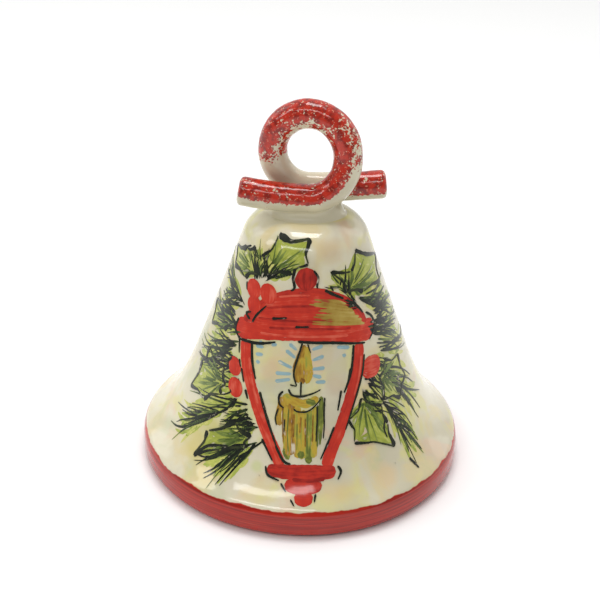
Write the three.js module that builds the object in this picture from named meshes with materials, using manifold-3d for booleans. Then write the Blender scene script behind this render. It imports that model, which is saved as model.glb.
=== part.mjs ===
// A hand-made ceramic Christmas bell that stands on its rim, in millimetres, +Z up.
// The origin is the centre of the rim's foot. The front of the bell faces -Y.
//
// A flared shell carries a handle: one roll of clay, looped once over itself and stuck to
// the crown with a saddle of soft clay. Inside, a clay bar crosses the crown. A wire hangs
// in its hole and can turn there, and the clapper's own wire swings in that wire's eye.
import * as THREE from "three";
import { mergeVertices } from "three/addons/utils/BufferGeometryUtils.js";
import Module from "manifold-3d";

const wasm = await Module();
wasm.setup();

// ---- Driving dimensions ----

// Shell
const bellHeight = 89; // foot to the flat top of the crown
const lipRadius = 55; // the widest radius, at the rim
const lipHeight = 9.5; // foot to where the skirt leaves the rim
const lipTopRound = 3; // how far the rim's upper edge is rounded
const lipFootRound = 3; // rounding between the rim and the foot
const footWidth = 3; // the flat ring that the bell stands on
const crownRadius = 18; // the wall's cone, carried up to the crown's height
const shoulderRound = 6.7; // rounding from the wall to the crown
const flareWidth = 8.8; // what the skirt adds to the cone's radius at the rim
const flareDepth = 8.3; // height in which that falls to about a third
const wallThickness = 4.2;
const crownThickness = 6;
const innerShoulderRound = 5;

// Handle
const coilRadius = 4.65; // the clay roll
const loopHalfWidth = 11.9; // middle line of the loop
const loopHalfHeight = 13.1;
const loopOffset = 0.6; // the loop stands a little to the right of the bell's axis
const leftRun = 22.3; // from the loop's foot to the roll's front, left end
const rightRun = 24.8; // from the loop's foot to the roll's rear, right end
const leftLift = 2.1; // how far the left end rises off the crown
const rightLift = 1.6;
const saddleThickness = 2.1; // clay under the roll
const saddleLength = 25;
const saddleWidth = 17;
const saddleRise = 6.2; // height of the saddle's dome before the roll is pressed in

// Clapper bar
const barWidth = 9;
const barDepth = 6.5;
const barCorner = 2;
const barDrop = 5.75; // from the crown's ceiling to the bar's top
const wadRing = 1.4; // soft clay around each end of the bar, beyond its corners
const wadLength = 4.5;

// Wires and clapper
const wireRadius = 0.8;
const eyeRadius = 3; // middle line of both eyes
const curlRadius = 2.6; // middle line of the curls that stop the wires
const eyeDrop = 5.25; // from the bar's underside to the centre of the hanger's eye
const washerRadius = 4;
const washerThickness = 0.8;
const ballRadius = 10;
const ballHeight = 24; // foot to the ball's centre

// Clearances
const jointGap = 0.3; // between clay pieces stuck to each other, and under loose pieces
const coilGap = 0.6; // between the roll's two ends where they pass each other
const wireClearance = 0.6; // around a wire in a hole, on the radius

// Fineness
const shellSegments = 64;
const coilSides = 14;
const coilSteps = 64;
const wireSides = 8;

// ---- Solids ----

function toSolid(geometry) {
  const bare = geometry.clone();
  bare.deleteAttribute("normal");
  bare.deleteAttribute("uv");
  const merged = mergeVertices(bare, 1e-3);
  return new wasm.Manifold(
    new wasm.Mesh({
      numProp: 3,
      vertProperties: merged.attributes.position.array,
      triVerts: new Uint32Array(merged.index.array),
    }),
  );
}

function toGeometry(solid) {
  const mesh = solid.getMesh();
  const geometry = new THREE.BufferGeometry();
  geometry.setAttribute("position", new THREE.BufferAttribute(mesh.vertProperties, 3));
  geometry.setIndex(new THREE.BufferAttribute(mesh.triVerts, 1));
  return geometry;
}

// A profile of [radius, height] pairs turned about the Z axis.
function turned(profile, segments) {
  const points = profile.map(([radius, height]) => new THREE.Vector2(radius, height));
  return new THREE.LatheGeometry(points, segments).rotateX(Math.PI / 2);
}

// A round bar that follows a path.
function swept(path, radius, sides, steps) {
  const section = new THREE.Shape();
  for (let i = 0; i < sides; i++) {
    const angle = (2 * Math.PI * i) / sides;
    const x = radius * Math.cos(angle);
    const y = radius * Math.sin(angle);
    if (i === 0) section.moveTo(x, y);
    else section.lineTo(x, y);
  }
  return new THREE.ExtrudeGeometry(section, { steps, extrudePath: path });
}

// A quarter of a circle as [radius, height] pairs, from one angle to another, in degrees.
function arc(centreRadius, centreHeight, radius, fromAngle, toAngle, steps) {
  return Array.from({ length: steps + 1 }, (_, i) => {
    const angle = THREE.MathUtils.degToRad(fromAngle + ((toAngle - fromAngle) * i) / steps);
    return [centreRadius + radius * Math.cos(angle), centreHeight + radius * Math.sin(angle)];
  });
}

// ---- Shell ----

const ceilingHeight = bellHeight - crownThickness;
const coneTaper = (lipRadius - flareWidth - crownRadius) / (bellHeight - lipHeight);

// The wall's outer radius: a cone, with a skirt that flares out towards the rim.
function outerRadius(height) {
  const cone = crownRadius + coneTaper * (bellHeight - height);
  return cone + flareWidth * Math.exp(-(height - lipHeight) / flareDepth);
}

// The wall keeps its thickness square to its own slope.
function innerRadius(height) {
  const flareSlope = (flareWidth / flareDepth) * Math.exp(-(height - lipHeight) / flareDepth);
  return outerRadius(height) - wallThickness * Math.hypot(1, coneTaper + flareSlope);
}

// How far a rounded shoulder pulls the wall in, at a height just under a flat top.
function shoulderPull(height, top, round) {
  const rise = THREE.MathUtils.clamp((height - (top - round)) / round, 0, 1);
  return round * (1 - Math.sqrt(1 - rise * rise));
}

// Heights that crowd together where the shoulder turns over.
function shoulderHeights(top, round, steps) {
  return Array.from({ length: steps + 1 }, (_, i) => {
    return top - round + round * Math.sin((Math.PI / 2) * (i / steps));
  });
}

function between(low, high, steps, crowding) {
  return Array.from({ length: steps }, (_, i) => low + (high - low) * (i / steps) ** crowding);
}

const lipEdge = lipHeight + lipTopRound / 2; // where the rounded rim becomes the skirt

function shellProfile() {
  const outerWall = [
    ...between(lipEdge, bellHeight - shoulderRound, 10, 1.6),
    ...shoulderHeights(bellHeight, shoulderRound, 5),
  ].map((height) => {
    return [outerRadius(height) - shoulderPull(height, bellHeight, shoulderRound), height];
  });
  const innerWall = [
    ...between(lipHeight, ceilingHeight - innerShoulderRound, 9, 1.6),
    ...shoulderHeights(ceilingHeight, innerShoulderRound, 4),
  ].map((height) => {
    return [innerRadius(height) - shoulderPull(height, ceilingHeight, innerShoulderRound), height];
  });
  const rim = new THREE.QuadraticBezierCurve(
    new THREE.Vector2(lipRadius, lipHeight - lipTopRound),
    new THREE.Vector2(lipRadius, lipHeight),
    new THREE.Vector2(outerRadius(lipEdge), lipEdge),
  );
  const rimTop = rim.getPoints(4).slice(0, -1);
  const footOuter = lipRadius - lipFootRound;
  const footEdge = arc(footOuter, lipFootRound, lipFootRound, -90, 0, 3);
  return [
    [footOuter - footWidth, 0],
    ...footEdge,
    ...rimTop.map((point) => [point.x, point.y]),
    ...outerWall,
    [0, bellHeight],
    [0, ceilingHeight],
    ...innerWall.reverse(),
    [footOuter - footWidth, 0],
  ];
}

// The profile has a stretch on the axis, so the solid is made in two closed turns: the
// outer form filled in, and the hollow that is cut out of it.
function shellSolid() {
  const profile = shellProfile();
  const crown = profile.findIndex(([radius]) => radius === 0);
  const outside = toSolid(turned([[0, 0], ...profile.slice(0, crown + 1)], shellSegments));
  const mouthEdge = profile.at(-1);
  const belowFoot = [mouthEdge[0], -1];
  const hollow = profile.slice(crown + 1).reverse();
  const inside = toSolid(turned([[0, -1], belowFoot, ...hollow], shellSegments));
  return outside.subtract(inside);
}

// ---- Handle ----

const coilBase = bellHeight + saddleThickness + coilRadius; // middle line where it lies flat
const coilSide = coilRadius + coilGap / 2; // each end's distance from the bell's axis

// In from the front left end, once round the loop, and out to the rear right end.
class HandlePath extends THREE.Curve {
  getPoint(share) {
    const loopLength = Math.PI * (loopHalfWidth + loopHalfHeight);
    const along = share * (leftRun + loopLength + rightRun);
    if (along < leftRun) {
      const back = leftRun - along;
      const lift = leftLift * (back / leftRun) ** 2;
      return new THREE.Vector3(loopOffset - back, -coilSide, coilBase + lift);
    }
    if (along > leftRun + loopLength) {
      const out = along - leftRun - loopLength;
      const lift = rightLift * (out / rightRun) ** 2;
      return new THREE.Vector3(loopOffset + out, coilSide, coilBase + lift);
    }
    const turn = (along - leftRun) / loopLength;
    const angle = 2 * Math.PI * turn - Math.PI / 2;
    const across = THREE.MathUtils.smoothstep(turn, 0, 1);
    return new THREE.Vector3(
      loopOffset + loopHalfWidth * Math.cos(angle),
      THREE.MathUtils.lerp(-coilSide, coilSide, across),
      coilBase + loopHalfHeight * (1 + Math.sin(angle)),
    );
  }
}

const handlePath = new HandlePath();

// A flat-bottomed dome of clay, pressed into shape by the roll that lies on it.
function saddleSolid() {
  const dome = new THREE.SphereGeometry(1, 36, 20);
  dome.scale(saddleLength / 2, saddleWidth / 2, saddleRise);
  dome.translate(0, 0, bellHeight + jointGap);
  const below = new THREE.BoxGeometry(2 * saddleLength, 2 * saddleLength, 2 * saddleRise);
  below.translate(0, 0, bellHeight + jointGap - saddleRise);
  const roll = swept(handlePath, coilRadius + jointGap, coilSides, coilSteps);
  return toSolid(dome).subtract(toSolid(below)).subtract(toSolid(roll));
}

// ---- Clapper bar ----

const barTop = ceilingHeight - barDrop;
const barCentre = barTop - barDepth / 2;
const wireHole = wireRadius + wireClearance;
// The bar's upper corners reach the wall first.
const barReach = innerRadius(barTop) - 2 * jointGap;
const barHalfLength = Math.sqrt(barReach ** 2 - (barWidth / 2) ** 2);
const wadRadius = Math.hypot(barWidth, barDepth) / 2 + wadRing;

function barSolid() {
  const section = new THREE.Shape();
  const halfWidth = barWidth / 2;
  const halfDepth = barDepth / 2;
  section.moveTo(halfDepth, halfWidth - barCorner);
  section.absarc(halfDepth - barCorner, halfWidth - barCorner, barCorner, 0, Math.PI / 2);
  section.absarc(barCorner - halfDepth, halfWidth - barCorner, barCorner, Math.PI / 2, Math.PI);
  section.absarc(barCorner - halfDepth, barCorner - halfWidth, barCorner, Math.PI, 1.5 * Math.PI);
  section.absarc(halfDepth - barCorner, barCorner - halfWidth, barCorner, 1.5 * Math.PI, 2 * Math.PI);
  const bar = new THREE.ExtrudeGeometry(section, {
    depth: 2 * barHalfLength,
    bevelEnabled: false,
    curveSegments: 4,
  });
  bar.translate(0, 0, -barHalfLength).rotateY(Math.PI / 2).translate(0, 0, barCentre);
  const hole = new THREE.CylinderGeometry(wireHole, wireHole, 2 * barDepth, 16);
  hole.rotateX(Math.PI / 2).translate(0, 0, barCentre);
  return toSolid(bar).subtract(toSolid(hole));
}

// A collar of soft clay that holds one end of the bar to the wall. side is -1 or 1.
function wadSolid(side) {
  const reach = innerRadius(barTop);
  const collar = new THREE.SphereGeometry(1, 24, 14);
  collar.scale(wadLength, wadRadius, wadRadius);
  collar.translate(side * reach, 0, barCentre);
  const bar = new THREE.BoxGeometry(
    4 * barHalfLength,
    barWidth + 2 * jointGap,
    barDepth + 2 * jointGap,
  ).translate(0, 0, barCentre);
  const wall = [
    [0, barCentre - 2 * wadRadius],
    [innerRadius(barCentre - 2 * wadRadius) - jointGap, barCentre - 2 * wadRadius],
    [innerRadius(barCentre) - jointGap, barCentre],
    [innerRadius(ceilingHeight - innerShoulderRound) - jointGap, ceilingHeight - innerShoulderRound],
    [innerRadius(ceilingHeight) - innerShoulderRound, ceilingHeight - jointGap],
    [0, ceilingHeight - jointGap],
  ];
  return toSolid(collar).intersect(toSolid(turned(wall, shellSegments))).subtract(toSolid(bar));
}

// ---- Wires ----

// Points around an eye in the plane of the Z axis and `across`. The wire comes from a shank
// on the axis at the side of `towards` (1 above the eye, -1 below) and ends short of it.
function eyePoints(centreHeight, towards, across) {
  const points = [];
  for (let degrees = 55; degrees <= 305; degrees += 25) {
    const angle = THREE.MathUtils.degToRad(degrees);
    const point = across.clone().multiplyScalar(eyeRadius * Math.sin(angle));
    points.push(point.setZ(centreHeight + towards * eyeRadius * Math.cos(angle)));
  }
  return points;
}

const onAxis = (height) => new THREE.Vector3(0, 0, height);
const curlBend = 1.6 * wireRadius; // height in which a wire turns from its curl to its shank
const eyeNeck = 1.7 * wireRadius; // length of the bend between an eye and its shank

// Points around a flat curl from its free end inwards, then down or up the axis as
// `towards` is -1 or 1.
function curlPoints(height, towards) {
  const points = [];
  for (let degrees = 60; degrees <= 360; degrees += 30) {
    const angle = THREE.MathUtils.degToRad(degrees);
    points.push(
      new THREE.Vector3(curlRadius * Math.cos(angle), curlRadius * Math.sin(angle), height),
    );
  }
  points.push(new THREE.Vector3(curlRadius / 2, 0, height));
  points.push(onAxis(height + towards * curlBend), onAxis(height + 2 * towards * curlBend));
  return points;
}

const washerBase = barTop + jointGap;
const hangerCurl = washerBase + washerThickness + jointGap + wireRadius;
const hangerEye = barTop - barDepth - eyeDrop;
const linkHeight = hangerEye - eyeRadius; // the hanger's wire, which the clapper turns about
const clapperEye = linkHeight + 2 * wireRadius + jointGap - eyeRadius;
const clapperCurl = ballHeight - ballRadius - jointGap - wireRadius;

function wirePath(points) {
  return new THREE.CatmullRomCurve3(points, false, "centripetal");
}

const hangerPath = wirePath([
  ...curlPoints(hangerCurl, -1),
  onAxis(barCentre),
  onAxis(hangerEye + eyeRadius + eyeNeck),
  ...eyePoints(hangerEye, 1, new THREE.Vector3(1, 0, 0)),
]);

const clapperPath = wirePath([
  ...curlPoints(clapperCurl, 1),
  onAxis(ballHeight),
  onAxis(clapperEye - eyeRadius - eyeNeck),
  ...eyePoints(clapperEye, -1, new THREE.Vector3(0, 1, 0)),
]);

// ---- Loose rings and the ball ----

function washerProfile() {
  const top = washerBase + washerThickness;
  return [
    [wireHole, washerBase],
    [washerRadius, washerBase],
    [washerRadius, top],
    [wireHole, top],
    [wireHole, washerBase],
  ];
}

function ballProfile() {
  const edge = THREE.MathUtils.radToDeg(Math.acos(wireHole / ballRadius));
  const round = arc(0, ballHeight, ballRadius, -edge, edge, 14);
  return [...round, round[0]];
}

// ---- Assembly ----

const glaze = { color: 0xe9e4d8, roughness: 0.12, metalness: 0 };
const paintedGlaze = { color: 0xb52d22, roughness: 0.16, metalness: 0 };
const bareClay = { color: 0xd9cdb8, roughness: 0.7, metalness: 0 };
const steel = { color: 0xa9abad, roughness: 0.35, metalness: 1 };

function piece(name, geometry, look) {
  const mesh = new THREE.Mesh(geometry, new THREE.MeshStandardMaterial(look));
  mesh.name = name;
  return mesh;
}

const ceramicBody = new THREE.Group();
ceramicBody.add(
  piece("bell_shell", toGeometry(shellSolid()), glaze),
  piece("handle_coil", swept(handlePath, coilRadius, coilSides, coilSteps), paintedGlaze),
  piece("handle_saddle", toGeometry(saddleSolid()), glaze),
  piece("clapper_bar", toGeometry(barSolid()), bareClay),
  piece("bar_wad_left", toGeometry(wadSolid(-1)), bareClay),
  piece("bar_wad_right", toGeometry(wadSolid(1)), bareClay),
);

const hanger = new THREE.Group();
hanger.add(
  piece("hanger_wire", swept(hangerPath, wireRadius, wireSides, 56), steel),
  piece("hanger_washer", turned(washerProfile(), 24), steel),
);

const clapper = new THREE.Group();
clapper.add(
  piece("clapper_wire", swept(clapperPath, wireRadius, wireSides, 60), steel),
  piece("clapper_ball", turned(ballProfile(), 32), glaze),
);

const bell = new THREE.Group();
bell.add(ceramicBody, hanger, clapper);

export default bell;
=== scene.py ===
import math
import random

import bpy
from mathutils import Matrix, Vector


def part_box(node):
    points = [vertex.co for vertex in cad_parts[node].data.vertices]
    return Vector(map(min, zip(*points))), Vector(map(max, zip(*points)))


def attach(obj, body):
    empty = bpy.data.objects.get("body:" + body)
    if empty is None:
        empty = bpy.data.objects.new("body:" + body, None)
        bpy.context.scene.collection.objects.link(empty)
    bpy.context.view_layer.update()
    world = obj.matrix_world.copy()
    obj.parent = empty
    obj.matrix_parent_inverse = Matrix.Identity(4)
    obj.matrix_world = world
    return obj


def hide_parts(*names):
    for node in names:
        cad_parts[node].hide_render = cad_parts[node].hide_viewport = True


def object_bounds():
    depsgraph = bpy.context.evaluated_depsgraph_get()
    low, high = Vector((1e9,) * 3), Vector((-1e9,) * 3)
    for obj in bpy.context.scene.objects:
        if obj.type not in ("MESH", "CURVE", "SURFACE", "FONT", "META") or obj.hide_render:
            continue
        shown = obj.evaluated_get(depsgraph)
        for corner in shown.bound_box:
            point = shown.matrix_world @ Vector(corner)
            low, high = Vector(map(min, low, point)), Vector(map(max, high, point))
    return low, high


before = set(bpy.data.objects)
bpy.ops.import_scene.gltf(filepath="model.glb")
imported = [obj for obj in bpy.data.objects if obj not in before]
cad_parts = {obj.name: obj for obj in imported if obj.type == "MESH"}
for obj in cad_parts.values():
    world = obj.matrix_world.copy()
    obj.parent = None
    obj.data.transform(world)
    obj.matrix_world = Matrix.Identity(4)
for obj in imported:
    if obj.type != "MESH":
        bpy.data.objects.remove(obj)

cad_box = [list(corner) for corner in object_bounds()]

# ---------------------------------------------------------------------------------------
# The bell's wall. One piece of white earthenware turned on a wheel, a little out of true,
# dipped in white tin glaze and fired. Pale washes of colour were brushed over the white
# before the firing, and a broad red band runs round the rim. Two grey spots at the left and
# right sides of the wall are painted shade.

MM = 0.001
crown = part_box("bell_shell")[1]
lip_radius = crown[0]
bell_height = crown[2]
lip_height = 9.5 * MM  # from the foot to where the skirt leaves the rim
lip_top_round = 3 * MM
lip_foot_round = 3 * MM
foot_width = 3 * MM
crown_radius = 18 * MM  # the wall's cone, carried up to the crown
shoulder_round = 6.7 * MM
flare_width = 8.8 * MM  # what the skirt adds to the cone at the rim
flare_depth = 8.3 * MM
wall_thickness = 4.2 * MM
crown_thickness = 6 * MM
inner_round = 5 * MM
cone_taper = (lip_radius - flare_width - crown_radius) / (bell_height - lip_height)


def outer_radius(height):
    """The wall's outer radius: a cone, with a skirt that flares towards the rim."""
    skirt = flare_width * math.exp(-(height - lip_height) / flare_depth)
    return crown_radius + cone_taper * (bell_height - height) + skirt


def inner_radius(height):
    """The wall's inner radius: its thickness is measured square to the slope."""
    skirt_slope = flare_width / flare_depth * math.exp(-(height - lip_height) / flare_depth)
    return outer_radius(height) - wall_thickness * math.hypot(1, cone_taper + skirt_slope)


def rounded(radius, height, top, rounding):
    """Pulls a wall in where it turns over into a flat top."""
    rise = min(max((height - (top - rounding)) / rounding, 0), 1)
    return radius - rounding * (1 - math.sqrt(1 - rise * rise))


def heights(low, high, rounding):
    """Heights up a wall, closer together where the top turns over."""
    steps, turn_steps = 70, 16
    straight = [low + (high - rounding - low) * i / steps for i in range(steps)]
    turn = [math.sin(math.pi / 2 * i / turn_steps) for i in range(turn_steps + 1)]
    return straight + [high - rounding + rounding * share for share in turn]


def wall_profiles():
    """The outside from the foot's inner edge up to the crown, and the inside back down."""
    foot_radius = lip_radius - lip_foot_round
    outside = [(foot_radius - foot_width, 0), (foot_radius - foot_width / 2, 0)]
    rim_steps = 8
    for i in range(rim_steps + 1):
        angle = math.radians(-90 + 90 * i / rim_steps)
        outside.append((
            foot_radius + lip_foot_round * math.cos(angle),
            lip_foot_round * (1 + math.sin(angle)),
        ))
    edge = lip_height + lip_top_round / 2
    for i in range(rim_steps + 1):
        over = i / rim_steps
        low, mid, high = (1 - over) ** 2, 2 * over * (1 - over), over * over
        outside.append((
            (low + mid) * lip_radius + high * outer_radius(edge),
            low * (lip_height - lip_top_round) + mid * lip_height + high * edge,
        ))
    for height in heights(edge, bell_height, shoulder_round)[1:]:
        radius = rounded(outer_radius(height), height, bell_height, shoulder_round)
        outside.append((radius, height))
    outside.append((0, bell_height))
    ceiling = bell_height - crown_thickness
    inside = [(foot_radius - foot_width, 0)]
    for height in heights(lip_height / 2, ceiling, inner_round):
        radius = rounded(inner_radius(max(height, lip_height)), height, ceiling, inner_round)
        inside.append((radius, height))
    inside.append((0, ceiling))
    return outside, inside


def strands(name, lines):
    """A mesh of open lines, each a list of points."""
    mesh = bpy.data.meshes.new(name)
    points = [point for line in lines for point in line]
    edges, start = [], 0
    for line in lines:
        edges += [(start + i, start + i + 1) for i in range(len(line) - 1)]
        start += len(line)
    mesh.from_pydata(points, edges, [])
    made = bpy.data.objects.new(name, mesh)
    bpy.context.scene.collection.objects.link(made)
    return made


def add_node(tree, kind, inputs=None, **settings):
    """Adds a node with its settings. An input is a value, a socket, or a node's first socket."""
    made = tree.nodes.new(kind)
    for name, value in settings.items():
        setattr(made, name, value)
    for key, value in (inputs or {}).items():
        if isinstance(value, bpy.types.Node):
            value = value.outputs[0]
        if isinstance(value, bpy.types.NodeSocket):
            tree.links.new(value, made.inputs[key])
        else:
            made.inputs[key].default_value = value
    return made


def new_tree(name, sizes):
    """A geometry tree with named inputs: sizes maps a name to its kind of socket."""
    tree = bpy.data.node_groups.new(name, "GeometryNodeTree")
    tree.interface.new_socket("Geometry", in_out="INPUT", socket_type="NodeSocketGeometry")
    for size, kind in sizes.items():
        tree.interface.new_socket(size, in_out="INPUT", socket_type="NodeSocket" + kind)
    tree.interface.new_socket("Geometry", in_out="OUTPUT", socket_type="NodeSocketGeometry")
    return tree, add_node(tree, "NodeGroupInput").outputs


def end_tree(tree, geometry, material):
    """Every tree ends in real geometry with its material set."""
    real = add_node(tree, "GeometryNodeRealizeInstances", {"Geometry": geometry})
    coated = add_node(tree, "GeometryNodeSetMaterial", {"Geometry": real, "Material": material})
    add_node(tree, "NodeGroupOutput", {"Geometry": coated})


def grown(name, source, tree, sizes):
    """Runs a tree on an object once and keeps the result as a plain mesh."""
    sockets = {s.name: s for s in tree.interface.items_tree if s.in_out == "INPUT"}
    live = source.modifiers.new(tree.name, "NODES")
    live.node_group = tree
    for size, value in sizes.items():
        live[sockets[size].identifier] = value
    source.update_tag()
    bpy.context.view_layer.update()
    evaluated = source.evaluated_get(bpy.context.evaluated_depsgraph_get())
    mesh = bpy.data.meshes.new_from_object(evaluated)
    mesh.name = name
    source.modifiers.remove(live)
    bpy.data.objects.remove(source)
    made = bpy.data.objects.new(name, mesh)
    bpy.context.scene.collection.objects.link(made)
    return made


def wheel_tree():
    """Turns two profiles into one closed wall, slightly out of true."""
    tree, given = new_tree("turned on the wheel", {
        "Around": "Int", "Along": "Int", "Waviness": "Float", "Glaze": "Material",
    })
    curves = add_node(tree, "GeometryNodeMeshToCurve", {"Mesh": given["Geometry"]})
    columns = add_node(tree, "ShaderNodeMath", {0: given["Around"], 1: 1}, operation="ADD")
    both = add_node(tree, "GeometryNodeJoinGeometry")
    for sheet in (0, 1):
        grid = add_node(tree, "GeometryNodeMeshGrid", {
            "Vertices X": columns, "Vertices Y": given["Along"],
        })
        place = add_node(tree, "GeometryNodeInputPosition")
        flat = add_node(tree, "ShaderNodeSeparateXYZ", {0: place})
        angle = add_node(tree, "ShaderNodeMath", {
            0: flat.outputs["X"], 1: 2 * math.pi,
        }, operation="MULTIPLY")
        share = add_node(tree, "ShaderNodeMath", {0: flat.outputs["Y"], 1: 0.5}, operation="ADD")
        on_profile = add_node(tree, "GeometryNodeSampleCurve", {
            "Curves": curves, "Factor": share, "Curve Index": sheet,
        }, mode="FACTOR")
        turned = add_node(tree, "ShaderNodeVectorRotate", {
            "Vector": on_profile.outputs["Position"],
            "Axis": (0, 0, 1),
            "Angle": angle,
        }, rotation_type="AXIS_ANGLE")
        wall = add_node(tree, "GeometryNodeSetPosition", {
            "Geometry": grid.outputs["Mesh"], "Position": turned,
        })
        if sheet == 1:
            wall = add_node(tree, "GeometryNodeFlipFaces", {"Mesh": wall})
        tree.links.new(wall.outputs[0], both.inputs[0])
    closed = add_node(tree, "GeometryNodeMergeByDistance", {
        "Geometry": both, "Distance": 0.01 * MM,
    })
    here = add_node(tree, "GeometryNodeInputPosition")
    dents = add_node(tree, "ShaderNodeTexNoise", {"Vector": here, "Scale": 22.0, "Detail": 1.0})
    centred = add_node(tree, "ShaderNodeMath", {
        0: dents.outputs["Fac"], 1: 0.5,
    }, operation="SUBTRACT")
    push = add_node(tree, "ShaderNodeMath", {
        0: centred, 1: given["Waviness"],
    }, operation="MULTIPLY")
    sideways = add_node(tree, "ShaderNodeVectorMath", {
        0: here, 1: (1, 1, 0),
    }, operation="MULTIPLY")
    outward = add_node(tree, "ShaderNodeVectorMath", {0: sideways}, operation="NORMALIZE")
    moved = add_node(tree, "ShaderNodeVectorMath", {0: outward, "Scale": push}, operation="SCALE")
    true_wall = add_node(tree, "GeometryNodeSetPosition", {"Geometry": closed, "Offset": moved})
    smooth = add_node(tree, "GeometryNodeSetShadeSmooth", {"Geometry": true_wall})
    end_tree(tree, smooth, given["Glaze"])
    return tree


def to_linear(hex_colour):
    """An sRGB hex colour as linear red, green, blue and alpha."""
    channels = [int(hex_colour[i:i + 2], 16) / 255 for i in (1, 3, 5)]
    return tuple(
        c / 12.92 if c <= 0.04045 else ((c + 0.055) / 1.055) ** 2.4 for c in channels
    ) + (1.0,)


def new_material(name):
    """An empty material, with its tree."""
    material = bpy.data.materials.new(name)
    material.use_nodes = True
    tree = material.node_tree
    tree.nodes.clear()
    return material, tree


def finish_glossy(tree, place, colour, roughness, scale=130.0, detail=2.0, depth=0.12 * MM,
                  ior=1.52):
    """A fired glaze: a clear glassy skin, with the faint 8 mm ripple that it sets with."""
    waves = add_node(tree, "ShaderNodeTexNoise", {
        "Vector": place, "Scale": scale, "Detail": detail,
    })
    ripple = add_node(tree, "ShaderNodeBump", {
        "Height": waves.outputs["Fac"], "Distance": depth, "Strength": 1.0,
    })
    shader = add_node(tree, "ShaderNodeBsdfPrincipled", {
        "Base Color": colour, "Roughness": roughness, "IOR": ior, "Normal": ripple,
    })
    add_node(tree, "ShaderNodeOutputMaterial", {"Surface": shader})


WHITE_GLAZE = "#d8d1b6"
GREY_GLAZE = "#c6bea4"
BAND_RED = "#b8220c"
BAND_DARK = "#881406"
BAND_LIGHT = "#c9452e"
BISCUIT = "#c9ab86"
band_top = 9.9 * MM


def mixed(tree, share, low, high):
    """Two colours mixed by a share, each a socket or a hex colour."""
    inputs = {"Factor": share}
    for key, colour in ((6, low), (7, high)):
        inputs[key] = to_linear(colour) if isinstance(colour, str) else colour
    return add_node(tree, "ShaderNodeMix", inputs, data_type="RGBA").outputs[2]


def noise_share(tree, vector, scale, low, high, detail=2.0, distortion=0.0):
    """A share from 0 to 1 where a noise passes from low to high."""
    noise = add_node(tree, "ShaderNodeTexNoise", {
        "Vector": vector, "Scale": scale, "Detail": detail, "Distortion": distortion,
    })
    return add_node(tree, "ShaderNodeMapRange", {
        "Value": noise.outputs["Fac"], "From Min": low, "From Max": high,
    }, interpolation_type="SMOOTHSTEP")


# Each wash: how far round and how high in mm, its radius in mm, its colour and its strength.
# The two grey spots at 48 mm round to the left and to the right are painted shade on the sides.
washes_and_side_shade = (
    (-38, 19, 7, "#cdbf72", 0.75), (-32, 25, 6, "#c6c274", 0.7), (-41, 26, 5, "#d0c586", 0.5),
    (-33, 50, 6, "#bcc389", 0.6), (-29, 67, 5, "#bcc389", 0.6), (-20, 31, 5, "#b6c070", 0.6),
    (-13.5, 19.5, 2.2, "#c3cc80", 0.5), (30, 60, 5, "#d3c98c", 0.7), (34, 49, 6, "#b9bf82", 0.6),
    (38, 29, 6, "#b9c07c", 0.6), (32, 67, 4, "#c0c68a", 0.6), (44, 17, 5, "#d3c27c", 0.7),
    (30, 15, 5, "#dcbf90", 0.6), (10, 14, 5, "#dfc690", 0.5), (-32, 13, 6, "#d8bf70", 0.6),
    # Painted shade: the wall's left and right sides, greyed where they turn away.
    (-48, 46, 7, "#b4b692", 0.7), (48, 48, 6, "#bdbd9c", 0.6),
    (-12, 84, 5, "#c9b684", 0.6), (8, 84, 5, "#c9b08a", 0.6), (2, 80, 4, "#bdb294", 0.5),
    (-10, 48, 4, "#d2b492", 0.45), (11, 44, 4, "#cdb592", 0.4), (15, 14, 4, "#d9c184", 0.5),
)


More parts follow.
